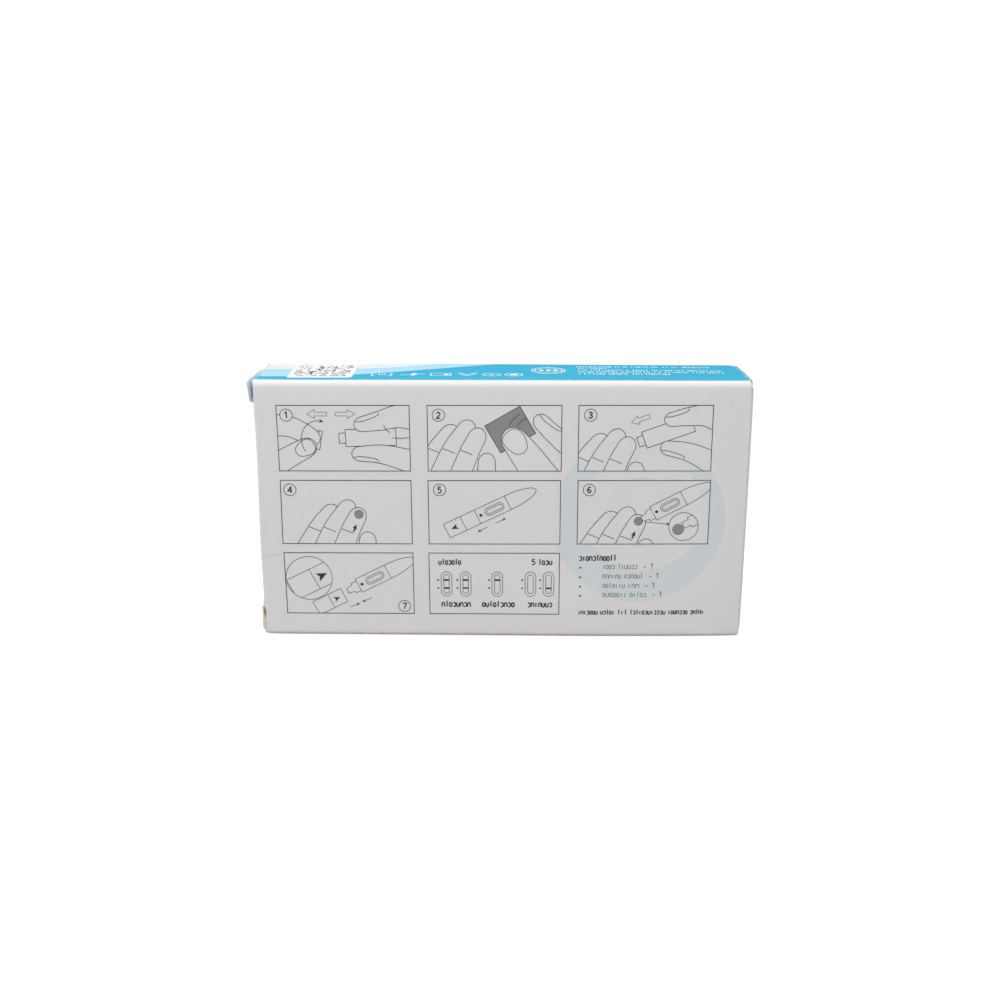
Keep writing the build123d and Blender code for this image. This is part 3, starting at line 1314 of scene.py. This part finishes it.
def coated_finish():
    """Coated side of the board: white with a faint fibre mottle and broad uneven tone, satin, paler where
    a crease has cracked the coating, and with painted warm bounce light, brown, along the fold it stands on."""
    made, tree, surface = shader("coated_board", board_white, 0.42)
    colour = blend_colours(tree, clouds(tree, 0.35, 0.0, 0.55, 4.0), opaque(board_white), opaque(board_grey))
    colour = blend_colours(tree, clouds(tree, 38.0, 0.0, 0.35), colour, opaque(board_grey))
    cracked = sums(tree, "MULTIPLY", point_number(tree, "crease"), clouds(tree, 0.8, 0.0, 0.8, 4.0))
    colour = blend_colours(tree, cracked, colour, opaque(worn_white))
    # Painted warm bounce light: brown along the fold at the foot, in clouds
    foot = ramp(tree, place_parts(tree)[2], *(level * mm for level in foot_bounce_levels))
    edge_amount = sums(tree, "MULTIPLY", foot, clouds(tree, 3.0, 0.6, 1.0))
    colour = blend_colours(tree, edge_amount, colour, opaque(bounce_and_bare_brown))
    tree.links.new(colour, surface.inputs["Base Color"])
    tree.links.new(clouds(tree, 2.5, 0.36, 0.5, 3.0), surface.inputs["Roughness"])
    bump = {"Height": clouds(tree, 0.5, 0.0, 1.0, 3.0), "Strength": 0.06, "Distance": 0.02 * mm}
    grain = node(tree, "Bump", bump).outputs[0]
    rise = {"Height": under_seal(tree), "Strength": 1.0, "Distance": rim_rise * mm, "Normal": grain}
    tree.links.new(node(tree, "Bump", rise).outputs[0], surface.inputs["Normal"])
    return made


def under_seal(tree):
    """1 under a seal and 0 outside it, sloping at its rim. The film is measured from its middle: on a panel
    along x and on a closure along y, the right end being the left one turned half a turn about z."""
    panel_skin = 0.3
    x, y, z = (place_parts(tree)[k] for k in range(3))
    end = sums(tree, "SIGN", x)
    across = sums(tree, "MULTIPLY", sums(tree, "MULTIPLY", y, end), -1.0)
    panel_share = sums(tree, "LESS_THAN", across, (panel_skin - half_depth) * mm)
    panel_way = sums(tree, "SUBTRACT", (half_length + seal_shift) * mm, sums(tree, "ABSOLUTE", x))
    end_way = sums(tree, "ADD", across, (half_depth - seal_shift) * mm)
    way = ramp(tree, panel_share, 0.0, 1.0, end_way, panel_way)
    flat = node(tree, "CombineXYZ", {0: way, 1: sums(tree, "SUBTRACT", z, seal_middle * mm)}).outputs[0]
    far = node(tree, "VectorMath", {0: flat}, operation="LENGTH").outputs["Value"]
    return ramp(tree, far, seal_radius * mm, (seal_radius - rim_slope_width) * mm)


def fibre_finish(name, pale, dark, size):
    """Uncoated board: two tones of fibre, rough."""
    made, tree, surface = shader(name, pale, 0.85)
    colour = blend_colours(tree, clouds(tree, size, 0.0, 1.0, 5.0), opaque(pale), opaque(dark))
    tree.links.new(colour, surface.inputs["Base Color"])
    bump = {"Height": clouds(tree, size / 2, 0.0, 1.0, 3.0), "Strength": 0.3, "Distance": 0.03 * mm}
    tree.links.new(node(tree, "Bump", bump).outputs[0], surface.inputs["Normal"])
    return made


def ink_finish(name, colour, wear=0.1, gloss=ink_gloss):
    """Printed ink: its colour with a fine mottle that lets a little board show, satin."""
    made, tree, surface = shader(name, colour, 0.4, gloss)
    paler = [c + wear * (w - c) for c, w in zip(colour, board_white)]
    mottle = sums(tree, "MULTIPLY", clouds(tree, 0.3, 0.0, 1.0, 4.0), clouds(tree, 14.0, 0.3, 1.0))
    mixed = blend_colours(tree, mottle, opaque(colour), opaque(paler))
    tree.links.new(mixed, surface.inputs["Base Color"])
    tree.links.new(clouds(tree, 1.8, 0.34, 0.46, 3.0), surface.inputs["Roughness"])
    return made


def ripple_finish():
    """Pale tint of the ripple, paler still inside the frames of the steps and the results."""
    full, faint = ([c * t for c, t in zip(board_white, tint)] for tint in (full_tint, faint_tint))
    made, tree, surface = shader("ripple_tint", full, 0.42)
    x, z = place_parts(tree)[0], place_parts(tree)[2]
    turned_x = sums(tree, "ADD", x, sums(tree, "MULTIPLY", z, print_turn))
    turned_z = sums(tree, "ADD", z, sums(tree, "MULTIPLY", x, -print_turn))
    left = (first_frame_left + print_shift[0] + print_turn * carton_height / 2) * mm
    foot = (last_row_foot + print_shift[1]) * mm
    column = sums(tree, "DIVIDE", sums(tree, "SUBTRACT", turned_x, left), column_pitch * mm)
    row = sums(tree, "DIVIDE", sums(tree, "SUBTRACT", turned_z, foot), row_pitch * mm)
    in_column = sums(tree, "LESS_THAN", sums(tree, "FRACT", column), frame_width / column_pitch)
    in_column = sums(tree, "MULTIPLY", in_column, sums(tree, "LESS_THAN", column, frame_columns))
    in_row = sums(tree, "LESS_THAN", sums(tree, "FRACT", row), frame_height / row_pitch)
    last_column = sums(tree, "GREATER_THAN", column, frame_columns - 1)
    listed = sums(tree, "MULTIPLY", last_column, sums(tree, "LESS_THAN", row, 1))
    framed = sums(tree, "MULTIPLY", in_column, in_row)
    framed = sums(tree, "MULTIPLY", framed, sums(tree, "SUBTRACT", 1, listed))
    colour = blend_colours(tree, framed, opaque(full), opaque(faint))
    colour = blend_colours(tree, clouds(tree, 0.35, 0.0, 0.2, 4.0), colour, opaque(board_grey))
    tree.links.new(colour, surface.inputs["Base Color"])
    tree.links.new(clouds(tree, 2.5, 0.36, 0.5, 3.0), surface.inputs["Roughness"])
    return made


def shoulder_finish():
    """Print on the shoulder that stands out: blue, with painted shade beside the slit, pale towards its back
    edge from worn coating and a painted sheen, bare brown board at the corner of its free end, and at its
    root the blue of the left bleed."""
    made, tree, surface = shader("shoulder_ink", shoulder_worn_and_sheen, 0.45, ink_gloss)
    fall = point_number(tree, "fall")
    wavy = sums(tree, "ADD", point_number(tree, "share"), clouds(tree, 1.5, -0.06, 0.06, 3.0))
    # Painted shade beside the slit: darker towards the shoulder's front edge, below its root
    dark = sums(tree, "MULTIPLY", ramp(tree, wavy, 0.66, 0.25), ramp(tree, fall, 0.15, 0.45))
    bare = sums(tree, "MULTIPLY", ramp(tree, fall, 0.74, 0.9), ramp(tree, wavy, 1.1, 0.5))
    colour = blend_colours(tree, dark, opaque(shoulder_blue), opaque(shoulder_painted_shade))
    # Pale towards the back edge: partly worn coating, partly a painted sheen
    colour = blend_colours(tree, ramp(tree, wavy, 0.5, 0.95), colour, opaque(shoulder_worn_and_sheen))
    colour = blend_colours(tree, bare, colour, opaque(bounce_and_bare_brown))
    colour = blend_colours(tree, ramp(tree, fall, 0.0, 0.1), opaque(bleed_blue), colour)
    tree.links.new(colour, surface.inputs["Base Color"])
    return made


def bleed_finish():
    """Print that the left crease has worn: blue at its front, then light blue and then nearly bare, and
    bare over the crest."""
    made, tree, surface = shader("worn_bleed", bleed_light, 0.45, ink_gloss)
    y = place_parts(tree)[1]
    wavy = sums(tree, "ADD", point_number(tree, "over"), clouds(tree, 1.2, -0.12, 0.12, 3.0))
    lighter = ramp(tree, y, *(place * mm for place in bleed_lightens))
    fading = ramp(tree, y, *(place * mm for place in bleed_fades))
    colour = blend_colours(tree, lighter, opaque(bleed_blue), opaque(bleed_light))
    colour = blend_colours(tree, fading, colour, opaque(bleed_pale))
    colour = blend_colours(tree, ramp(tree, wavy, 0.5, 0.95), colour, opaque(bleed_rim))
    tree.links.new(colour, surface.inputs["Base Color"])
    return made


def film_finish():
    """Clear film: nearly unseen; its grey, a little denser at its rim and where it bridges the tuck edge, is
    painted shade.
    """
    made, tree, surface = shader("clear_film", film_shade_grey, 0.25)
    rim = sums(tree, "MULTIPLY", point_number(tree, "rim"), 0.012)
    loose = sums(tree, "MULTIPLY", point_number(tree, "loose"), 0.01)
    seen = sums(tree, "ADD", sums(tree, "ADD", rim, loose), clouds(tree, 6.0, 0.001, 0.006))
    tree.links.new(seen, surface.inputs["Alpha"])
    surface.inputs["IOR"].default_value = film_index
    return made


# Printing


def printed(name, patches, place, lift, finish):
    """Ink as a thin closed slab: flat patches laid on a panel."""
    flat, cells = joined(patches)
    points, triangles, _ = closed_sheet(place(flat, lift), place(flat, ink_foot), cells)
    return piece(name, settle(points), triangles, [finish])


# Edges between the colours over the top, as ways over the board: the level of each at the left, its climb,
# and the place and softness of the bend where the climb begins
blue_edge = (-7.2, 0.43, -41.5, 6.0)
light_blue_edge = (2.7, 0.42, -34.0, 4.0)
lavender_edge = (7.4, 0.42, -30.0, 4.0)


def colour_edge(x, level, climb, bend, softness):
    """A line that is level before a bend and climbs after it: the soft bend is the logarithm of one more
    than the exponential of the way past it."""
    return level + climb * softness * np.log1p(np.exp((x - bend) / softness))


# Ragged front edge of the top print: its place and depth, its columns, the columns that its waver is smoothed
# over, how far it wavers, how often and how far it flakes, and its rise at the left end
ink_front = -10.03
ragged_depth = 0.66
ragged_columns = 320
ragged_smoothing = 9
ragged_waver = 0.14
flake_share = 0.06
flake_depths = (0.05, 0.2)
ragged_rise = 0.25
ragged_rise_reach = 3.0
cracked_lead = 0.1


def top_ways():
    """The board's own marks over the top, the folds before and behind it and the back, as ways over the
    board."""
    rows = np.flatnonzero((section_leg > front_leg) & (section_leg <= back_leg))
    y, z = section[rows[0] : rows[-1] + 2].T
    before = top_front - front_fold * np.arctan2(top_front - y, z - carton_height + front_fold)
    around = np.arctan2(y - back_flat, z - top_flat)
    down = top_flat - z + panel_fold * math.pi / 2
    behind = back_flat + np.where(z > top_flat, panel_fold * around, down)
    return np.where(y < top_front, before, np.where(y <= back_flat, y, behind))


def top_band(x, low, high):
    """Band over the top and back between two curves of x. Its rows are the board's own marks, kept
    between the curves, and past the ends of the top panel it lies on the front fold and the back only."""
    marks = top_ways()
    way = np.clip(marks[:, None], low[None, :], high[None, :])
    grid = np.stack(np.broadcast_arrays(x[None, :], way), -1)
    middle = ((x[1:] + x[:-1]) / 2)[None, :]
    before = (marks[1:] <= top_front + slack)[:, None] & (middle < hinge_start)
    behind = (marks[:-1] >= back_flat - slack)[:, None] & (middle > 0)
    return grid.reshape(-1, 2), grid_cells((np.abs(middle) < dust_start) | before | behind)


def ragged_strip(seed, front):
    """Front edge of the top print: a strip whose edge wavers where the crease has lifted the ink."""
    draw = np.random.default_rng(seed)
    x = np.linspace(-raw_end, dust_start, ragged_columns)
    noise = draw.normal(0, 1, len(x) + ragged_smoothing - 1)
    waver = np.convolve(noise, np.ones(ragged_smoothing) / ragged_smoothing, "valid") * ragged_waver
    flakes = np.where(draw.random(len(x)) < flake_share, draw.uniform(*flake_depths, len(x)), 0)
    low = front + np.abs(waver) + flakes + ragged_rise * bell(x, -half_length, ragged_rise_reach)
    return top_band(x, low, np.full_like(x, ink_front + ragged_depth))


# Where the edges of the colours cross the back fold, and how finely they do
wave_crossing = (-26.0, 4.0)
wave_step = 0.25

patch_left, patch_right = -56.6, -39.5
patch_front, patch_back = -8.8, 9.4
patch_corner = 1.3
code_module = 0.70
code_count = 21
code_share = 0.25
code_block = 0.96


def top_patch():
    """White rounded patch on the top print."""
    corner = patch_corner * (1 - np.cos(np.linspace(0, math.pi / 2, 7)))
    middle = np.linspace(patch_left, patch_right, 9)[1:-1]
    x = np.unique(np.round(np.concatenate([patch_left + corner, middle, patch_right - corner]), 4))
    inset = np.clip(patch_corner - np.minimum(x - patch_left, patch_right - x), 0, None)
    cut = patch_corner - np.sqrt(np.clip(patch_corner**2 - inset**2, 0, None))
    return top_band(x, patch_front + cut, patch_back - cut)


def code_blocks(seed):
    """Dark blocks on the patch: a random pattern of squares."""
    draw = np.random.default_rng(seed)
    cells = np.argwhere(draw.random((code_count, code_count)) < code_share)
    middle = np.array([patch_left + patch_right, patch_front + patch_back]) / 2
    corners = (cells - code_count / 2) * code_module + middle
    square = (box_outline(code_block, code_block) + 0.5) * code_module
    points = (corners[:, None, :] + square[None]).reshape(-1, 2)
    return points, np.arange(len(points)).reshape(-1, 4)


sign_level = -4.9
sign_line = 0.32
sign_step = 0.6
badge_middle = (12.1, 0.9)


def top_signs():
    """Small generic signs in a row on the blue: a bar in brackets, a drop on a line, a box with a block,
    two chevrons, two ringed dots and three dots in a double ring."""
    patches = greeked(3, -33.2, sign_level, (2.4,), 1.5)
    lines = [np.array([(-3.4, -0.8), (3.0, 0.8)]) + (-23.6, sign_level)]
    for side in (-1, 1):
        bracket = np.array([(1.6, 1.5), (2.6, 1.5), (2.6, -1.5), (1.6, -1.5)]) * (side, 1)
        lines.append(bracket + (-32.0, sign_level))
    for rise in (0, 1.5):
        lines.append(np.array([(-2.5, 0.9), (0, -1.4), (2.5, 0.9)]) + (-9.5, sign_level + rise))
    patches += [ribbon(even(line, sign_step), sign_line) for line in lines]
    rings = [box_outline(5.2, 3.0) + (-16.4, sign_level)]
    rings += [disc(badge_middle, size, 60) for size in ((4.5, 4.3), (3.7, 3.3))]
    solids = [turned(disc((0, 0.2), (0.8, 1.5)), (-23.6, sign_level), -12)]
    solids.append(box_outline(1.2, 1.6) + (-15.0, sign_level))
    solids += [disc(np.add(badge_middle, (step, 0)), (0.7, 1.1)) for step in (-1.9, 0, 1.9)]
    for x, dot in ((-3.0, 0.5), (2.8, 0.9)):
        rings.append(disc((x, sign_level), (2.3, 1.7), 40))
        solids.append(disc((x, sign_level), (dot * 1.3, dot)))
    return patches + [loop(ring, sign_line) for ring in rings] + [fan(solid) for solid in solids]


top_words_left = 19.9
top_lines = (
    (11, top_words_left, 6.4, (9.6, 1.4, 1.0, 4.8, 2.0, 4.8, 7.2), 1.3),
    (12, top_words_left, 4.1, (3.0, 4.4), 1.0),
    (13, top_words_left, 1.5, (2.6, 10.4, 4.6, 8.6, 9.0), 1.2),
    (14, top_words_left, -1.0, (4.2, 5.6, 7.8, 2.2, 6.6, 8.6), 1.2),
    (15, top_words_left, -3.6, (7.2, 5.0, 10.4), 1.35),
)


def skin_piece(name, outer, inner, finish):
    """Ink between two skins of a flap; and its points before they settle."""
    cells = grid_cells(every_cell(outer))
    points, triangles, _ = closed_sheet(outer.reshape(-1, 3), inner.reshape(-1, 3), cells)
    return piece(name, settle(points), triangles, [finish]), points


# Print over the ends of the top: how far it runs down and its columns; and the lines of the right crease,
# as x and the way over the board: a dark line of painted shade in its groove, and a thin line outside it
bleed_length = 1.6
bleed_columns = 16
groove_width = 0.15
groove_step = 0.25
groove_shade_line = np.array([(63.63, 9.8), (63.61, -8.4), (63.85, -9.4), (64.18, -10.2), (64.34, -10.95)])
outer_line = np.array([(63.98, -9.0), (64.2, -9.6), (64.42, -10.2), (64.5, -10.8)])


def print_bleeds(finishes):
    """Print that runs over the ends of the top, onto the dust flaps, the left one's cut face and the
    shoulders; and along the right crease, a dark line of painted shade for its groove, partly ink that the
    crease has cracked, and a thin line outside it, which run on over the front fold."""
    path = walk(0, [(90, dust_fold), [bleed_length]])
    groove_steps = round(fold_steps * groove_width / (dust_fold * math.pi / 2))
    groove_shade = tuple(part[: groove_steps + 1] for part in path)

    def end_skin(side, widths, line, offset):
        corner = (side * dust_start, 0, carton_height)
        return flap_skin(corner, (0, 1, 0), (0, 0, 1), widths, line, offset)

    strips = (
        (-1, "bleed", dust_front, dust_back, path, field_lift),
        (1, "blue", top_front, -dust_front, path, field_lift),
        # Painted shade of the right crease's groove, running down the dust flap's fold
        (1, "groove_shade", top_front, -dust_front, groove_shade, patch_lift),
    )
    for side, name, low, high, line, lift in strips:
        widths = np.linspace(low, high, bleed_columns + 1)
        skins = [end_skin(side, widths, line, offset) for offset in (lift, ink_foot)]
        made, points = skin_piece(f"ink_end_{name}", *skins, finishes[name])
        fallen = np.arccos(np.clip(1 - (carton_height - points[:, 2]) / dust_fold, 0, 1))
        point_value(made, "over", fallen / (math.pi / 2))
    # Painted shade of the right crease's groove over the top and the front fold
    broken = ribbon(even(groove_shade_line, groove_step), 2 * groove_width)
    printed("ink_groove_shade", [broken], over_top, patch_lift, finishes["groove_shade"])
    outside = ribbon(even(outer_line, groove_step), groove_width)
    printed("ink_outer_line", [outside], over_top, field_lift, finishes["blue"])
    rims = [end_skin(-1, np.array([dust_front]), path, offset) for offset in (0, -board)]
    cut_face = np.concatenate(rims, 1)
    skins = [cut_face - np.array([0, lift, 0]) for lift in (field_lift, ink_foot)]
    skin_piece("ink_left_cut", *skins, finishes["bleed"])
    for side, end, name in ((-1, "left", "shoulder"), (1, "right", "blue")):
        skins = [shoulder_skin(side, True, offset) for offset in (field_lift, ink_foot)]
        made, points = skin_piece(f"ink_{end}_shoulder", *skins, finishes[name])
        y, z = points[:, 1], points[:, 2]
        point_value(made, "share", (y - y.min()) / (y.max() - y.min()))
        point_value(made, "fall", (z.max() - z) / (z.max() - z.min()))


def print_top():
    """All the print of the top panel, which runs on over the back."""
    finishes = {
        "blue": ink_finish("blue_ink", blue_ink, 0.02, 0.0),
        "light_blue": ink_finish("light_blue_ink", light_blue_ink, 0.08, 0.0),
        "lavender": ink_finish("lavender_ink", lavender_ink, 0.2, 0.0),
        "bleed": bleed_finish(),
        "groove_shade": ink_finish("groove_shade_ink", groove_shade_ink, 0.2),
        "shoulder": shoulder_finish(),
    }
    x = np.unique(np.concatenate([tube_stations, np.arange(*wave_crossing, wave_step)]))
    blue = top_band(x, np.full_like(x, ink_front + ragged_depth), colour_edge(x, *blue_edge))
    printed("ink_blue", [blue], over_top, field_lift, finishes["blue"])
    printed("ink_blue_edge", [ragged_strip(7, ink_front)], over_top, field_lift, finishes["blue"])
    cracked = ink_finish("cracked_ink", cracked_ink, 0.3)
    printed("ink_cracked_edge", [ragged_strip(8, ink_front - cracked_lead)], over_top, tint_lift, cracked)
    bands = (("light_blue", blue_edge, light_blue_edge), ("lavender", light_blue_edge, lavender_edge))
    for colour, low, high in bands:
        band = top_band(x, colour_edge(x, *low), colour_edge(x, *high))
        printed(f"ink_{colour}", [band], over_top, field_lift, finishes[colour])
    white = ink_finish("white_ink", board_white)
    printed("ink_patch", [top_patch()], over_top, patch_lift, white)
    printed("ink_code", [code_blocks(5)], over_top, line_lift, ink_finish("code_ink", bold_ink, 0.12))
    printed("ink_signs", top_signs(), over_top, patch_lift, white)
    printed("ink_top_words", word_lines(top_lines), over_top, patch_lift, white)
    print_bleeds(finishes)


# Front print: the ripple's two rings, painted shade in the mouth of the left slit, the frayed raw edge, and
# specks with their radii
ripples = (((36.2, 33.4), 23.0, (37.4, 35.4), 16.0), ((37.0, 35.6), 9.8, (38.2, 36.8), 6.4))
# Wedge of painted shade in the open mouth of the left slit
slit_shade_patch = ((-64.87, 8.15), (-64.87, 5.0), (-64.75, 5.6), (-64.6, 6.4), (-64.52, 7.2), (-64.6, 7.9))
frayed_edge = ((-64.87, 5.6), (-64.87, 2.77), (-64.87, 1.0), (-64.5, 1.0), (-64.52, 2.5), (-64.6, 4.4))
specks = ((56.9, 67.3, 0.11), (59.5, 64.4, 0.13), (60.9, 49.5, 0.10), (-9.0, 4.1, 0.09), (33.0, 3.0, 0.08))


def print_front():
    """All the print of the front panel."""
    lines = {"dark": [], "middle": [], "pale": []}
    solids, greys, whites, figures, rules = [], [], [], [], []
    for number, step in enumerate(steps):
        place = frame_place(number)
        middle = number_place + number % frame_columns * number_drift
        if step is step_close:
            middle = last_number_place
        shapes, marks, fills, knockouts = step()
        shapes.append(outline(disc(middle, number_radius, 48)))
        for tone, patch in drawn(shapes, frame_outline(number)):
            lines[tone] += placed([patch], place)
        solids += placed([fan(mark) for mark in marks], place)
        greys += placed([fan(fill) for fill in fills], place)
        whites += placed([fan(knockout) for knockout in knockouts], place)
        figures += placed(digit(number + 1, middle), place)
    for number in range(len(steps) + 1):
        rules += placed([loop(frame_outline(number), rule_width, 2.0)], frame_place(number))
    outlines, ticks, result_words = result_panel()
    lines["middle"] += placed(outlines, frame_place(len(steps)))
    solids += placed(ticks, frame_place(len(steps)))
    bold_words, plain_words = contents_block()
    bold_words += placed(result_words, frame_place(len(steps)))
    lines["pale"] += [fan(disc((x, z), radius, 12)) for x, z, radius in specks]
    black = ink_finish("black_ink", black_ink, 0.08)
    bold = ink_finish("bold_ink", bold_ink, 0.06)
    middle_ink = ink_finish("middle_line_ink", middle_line_ink)
    pale_ink = ink_finish("pale_line_ink", pale_line_ink)
    layers = (
        ("ink_ripple", [uneven_ring(*ripple) for ripple in ripples], tint_lift, ripple_finish()),
        ("ink_greys", greys, field_lift, ink_finish("grey_ink", grey_ink, 0.06)),
        ("ink_knockouts", whites, patch_lift, ink_finish("knockout_white", board_white)),
        ("ink_rules", rules, line_lift, black),
        ("ink_lines", lines["dark"], line_lift, black),
        ("ink_middle_lines", lines["middle"], line_lift, middle_ink),
        ("ink_pale_lines", lines["pale"], line_lift, pale_ink),
        ("ink_solids", solids, line_lift, black),
        ("ink_figures", figures, line_lift, bold),
        ("ink_bold_words", bold_words, line_lift, bold),
        ("ink_plain_words", plain_words, line_lift, ink_finish("plain_ink", plain_ink, 0.06)),
    )
    for name, patches, lift, finish in layers:
        printed(name, patches, on_front, lift, finish)
    # Dark brown fibre laid on the panel's edge as painted shade in the mouth of the left slit
    slit_shade = fibre_finish("slit_shade_board", *slit_shade_fibre, 0.2)
    frayed = fibre_finish("frayed_board", *frayed_fibre, 0.2)
    printed("slit_shade_patch", [fan(np.array(slit_shade_patch))], on_panel, patch_lift, slit_shade)
    printed("frayed_edge", [fan(np.array(frayed_edge))], on_panel, field_lift, frayed)


# Display side, as seen from behind
picture_place = np.array((2.0, 22.0))
picture_lean = 24
picture_scale = 1.9
picture_cap_share = 0.66
back_ripple = ((31.0, 33.0), 25.0, (33.0, 35.0), 18.0)
back_words_left = -46.0
heading_lines = ((41, back_words_left, 17.6, (17.0, 13.0), 3.2),)
small_lines = (
    (42, back_words_left, 12.2, (9.0, 6.0, 12.0), 1.7),
    (43, back_words_left, 8.9, (6.0, 10.0, 4.0, 7.0), 1.7),
)


def print_back():
    """Print of the back panel: a stick with a blue cap before a ripple, a heading and two lines."""

    def enlarged(points):
        return turned(points, (0, 0), picture_lean) * picture_scale + picture_place

    panel = box_outline(carton_length, carton_height) + (0, carton_height / 2)
    shapes, dots = test_stick((0, 0), 0, True)
    large_shapes = [shape._replace(points=enlarged(shape.points)) for shape in shapes]
    lines = [patch for _, patch in drawn(large_shapes, panel)]
    lines += [fan(enlarged(dot)) for dot in dots]
    cap_size = (stick_cap * picture_cap_share, 2 * stick_half)
    cap = box_outline(*cap_size) + (cap_size[0] / 2, 0)
    tint = ink_finish("back_tint", [c * t for c, t in zip(board_white, full_tint)])
    white = ink_finish("back_white", board_white)
    black = ink_finish("back_line_ink", middle_line_ink)
    blue = ink_finish("back_blue_ink", blue_ink, 0.06)
    small = ink_finish("back_small_ink", plain_ink)
    layers = (
        ("ink_back_ripple", [uneven_ring(*back_ripple)], tint_lift, tint),
        ("ink_back_stick", [fan(enlarged(stick_outline(True)))], field_lift, white),
        ("ink_back_cap", [fan(enlarged(cap))], patch_lift, blue),
        ("ink_back_lines", lines, line_lift, black),
        ("ink_back_heading", word_lines(heading_lines), line_lift, blue),
        ("ink_back_small_lines", word_lines(small_lines), line_lift, small),
    )
    for name, patches, lift, finish in layers:
        printed(name, patches, on_back, lift, finish)


# Carton and seals

raw_board = fibre_finish("raw_board", *raw_fibre, 0.25)
cut_board = fibre_finish("cut_board", *cut_fibre, 0.15)
make_board([coated_finish(), raw_board, cut_board])
film = film_finish()
make_seal("left_seal_film", "left_seal", 1, film)
make_seal("right_seal_film", "right_seal", -1, film)
print_top()
print_front()
print_back()

# Floor, light and camera


def make_floor():
    """White floor that keeps a faint shadow: mostly a plain white to the camera, diffuse to the light."""
    mesh = bpy.data.meshes.new("floor")
    corners = [(x, y, 0) for x, y in box_outline(2 * floor_half, 2 * floor_half).tolist()]
    mesh.from_pydata(corners, [], [(0, 1, 2, 3)])
    floor = bpy.data.objects.new("floor", mesh)
    bpy.context.scene.collection.objects.link(floor)
    made = bpy.data.materials.new("floor_white")
    made.use_nodes = True
    tree = made.node_tree
    tree.nodes.clear()
    diffuse = node(tree, "BsdfDiffuse", {"Color": opaque([floor_grey] * 3)})
    white = node(tree, "Emission", {"Color": (1, 1, 1, 1), "Strength": floor_glow})
    seen = sums(tree, "MULTIPLY", node(tree, "LightPath").outputs["Is Camera Ray"], floor_glow_share)
    mix = node(tree, "MixShader", {0: seen, 1: diffuse.outputs[0], 2: white.outputs[0]})
    tree.links.new(mix.outputs[0], node(tree, "OutputMaterial").inputs[0])
    mesh.materials.append(made)


def make_world(left, right):
    """White surroundings: full white to the eye and through film, and as light dimmer to the right."""
    world = bpy.data.worlds.new("surroundings")
    bpy.context.scene.world = world
    world.use_nodes = True
    tree = world.node_tree
    tree.nodes.clear()
    path = node(tree, "LightPath").outputs
    seen = sums(tree, "MAXIMUM", path["Is Camera Ray"], path["Is Transmission Ray"])
    across = node(tree, "SeparateXYZ", {0: node(tree, "TexCoord").outputs["Generated"]}).outputs[0]
    level = ramp(tree, seen, 0.0, 1.0, ramp(tree, across, -1.0, 1.0, left, right), 1.0)
    white = node(tree, "Background", {"Color": (1, 1, 1, 1), "Strength": level})
    tree.links.new(white.outputs[0], node(tree, "OutputWorld").inputs[0])


def make_lamp(name, place, size, watts, tilt):
    """Soft box that looks straight down, or is tilted from there about x by so many degrees."""
    lamp = bpy.data.lights.new(name, "AREA")
    lamp.shape = "RECTANGLE"
    lamp.size, lamp.size_y = size
    lamp.energy = watts
    made = bpy.data.objects.new(name, lamp)
    made.location = place
    made.rotation_euler = (math.radians(tilt), 0, 0)
    made.visible_camera = False
    bpy.context.scene.collection.objects.link(made)


def make_camera():
    """Camera at its fitted place, looking along its pitch and yaw, then rolled."""
    pitch, yaw, roll = (math.radians(angle) for angle in (camera_pitch, camera_yaw, camera_roll))
    ahead = np.array([math.sin(yaw) * math.cos(pitch), math.cos(yaw) * math.cos(pitch), -math.sin(pitch)])
    right = np.array([math.cos(yaw), -math.sin(yaw), 0])
    up = np.cross(right, ahead)
    across = right * math.cos(roll) + up * math.sin(roll)
    upward = up * math.cos(roll) - right * math.sin(roll)
    lens = bpy.data.cameras.new("camera")
    lens.sensor_width = sensor_width
    lens.lens = focal_pixels * sensor_width / frame_pixels
    lens.clip_start = 0.01
    camera = bpy.data.objects.new("camera", lens)
    turn = Matrix(np.stack([across, upward, -ahead], 1).tolist()).to_4x4()
    camera.matrix_world = Matrix.Translation(np.array(camera_place) * mm) @ turn
    bpy.context.scene.collection.objects.link(camera)
    bpy.context.scene.camera = camera


make_floor()
make_world(*surround_levels)
for soft_box in soft_boxes:
    make_lamp(*soft_box)
make_camera()
bpy.context.scene.view_settings.view_transform = "Standard"
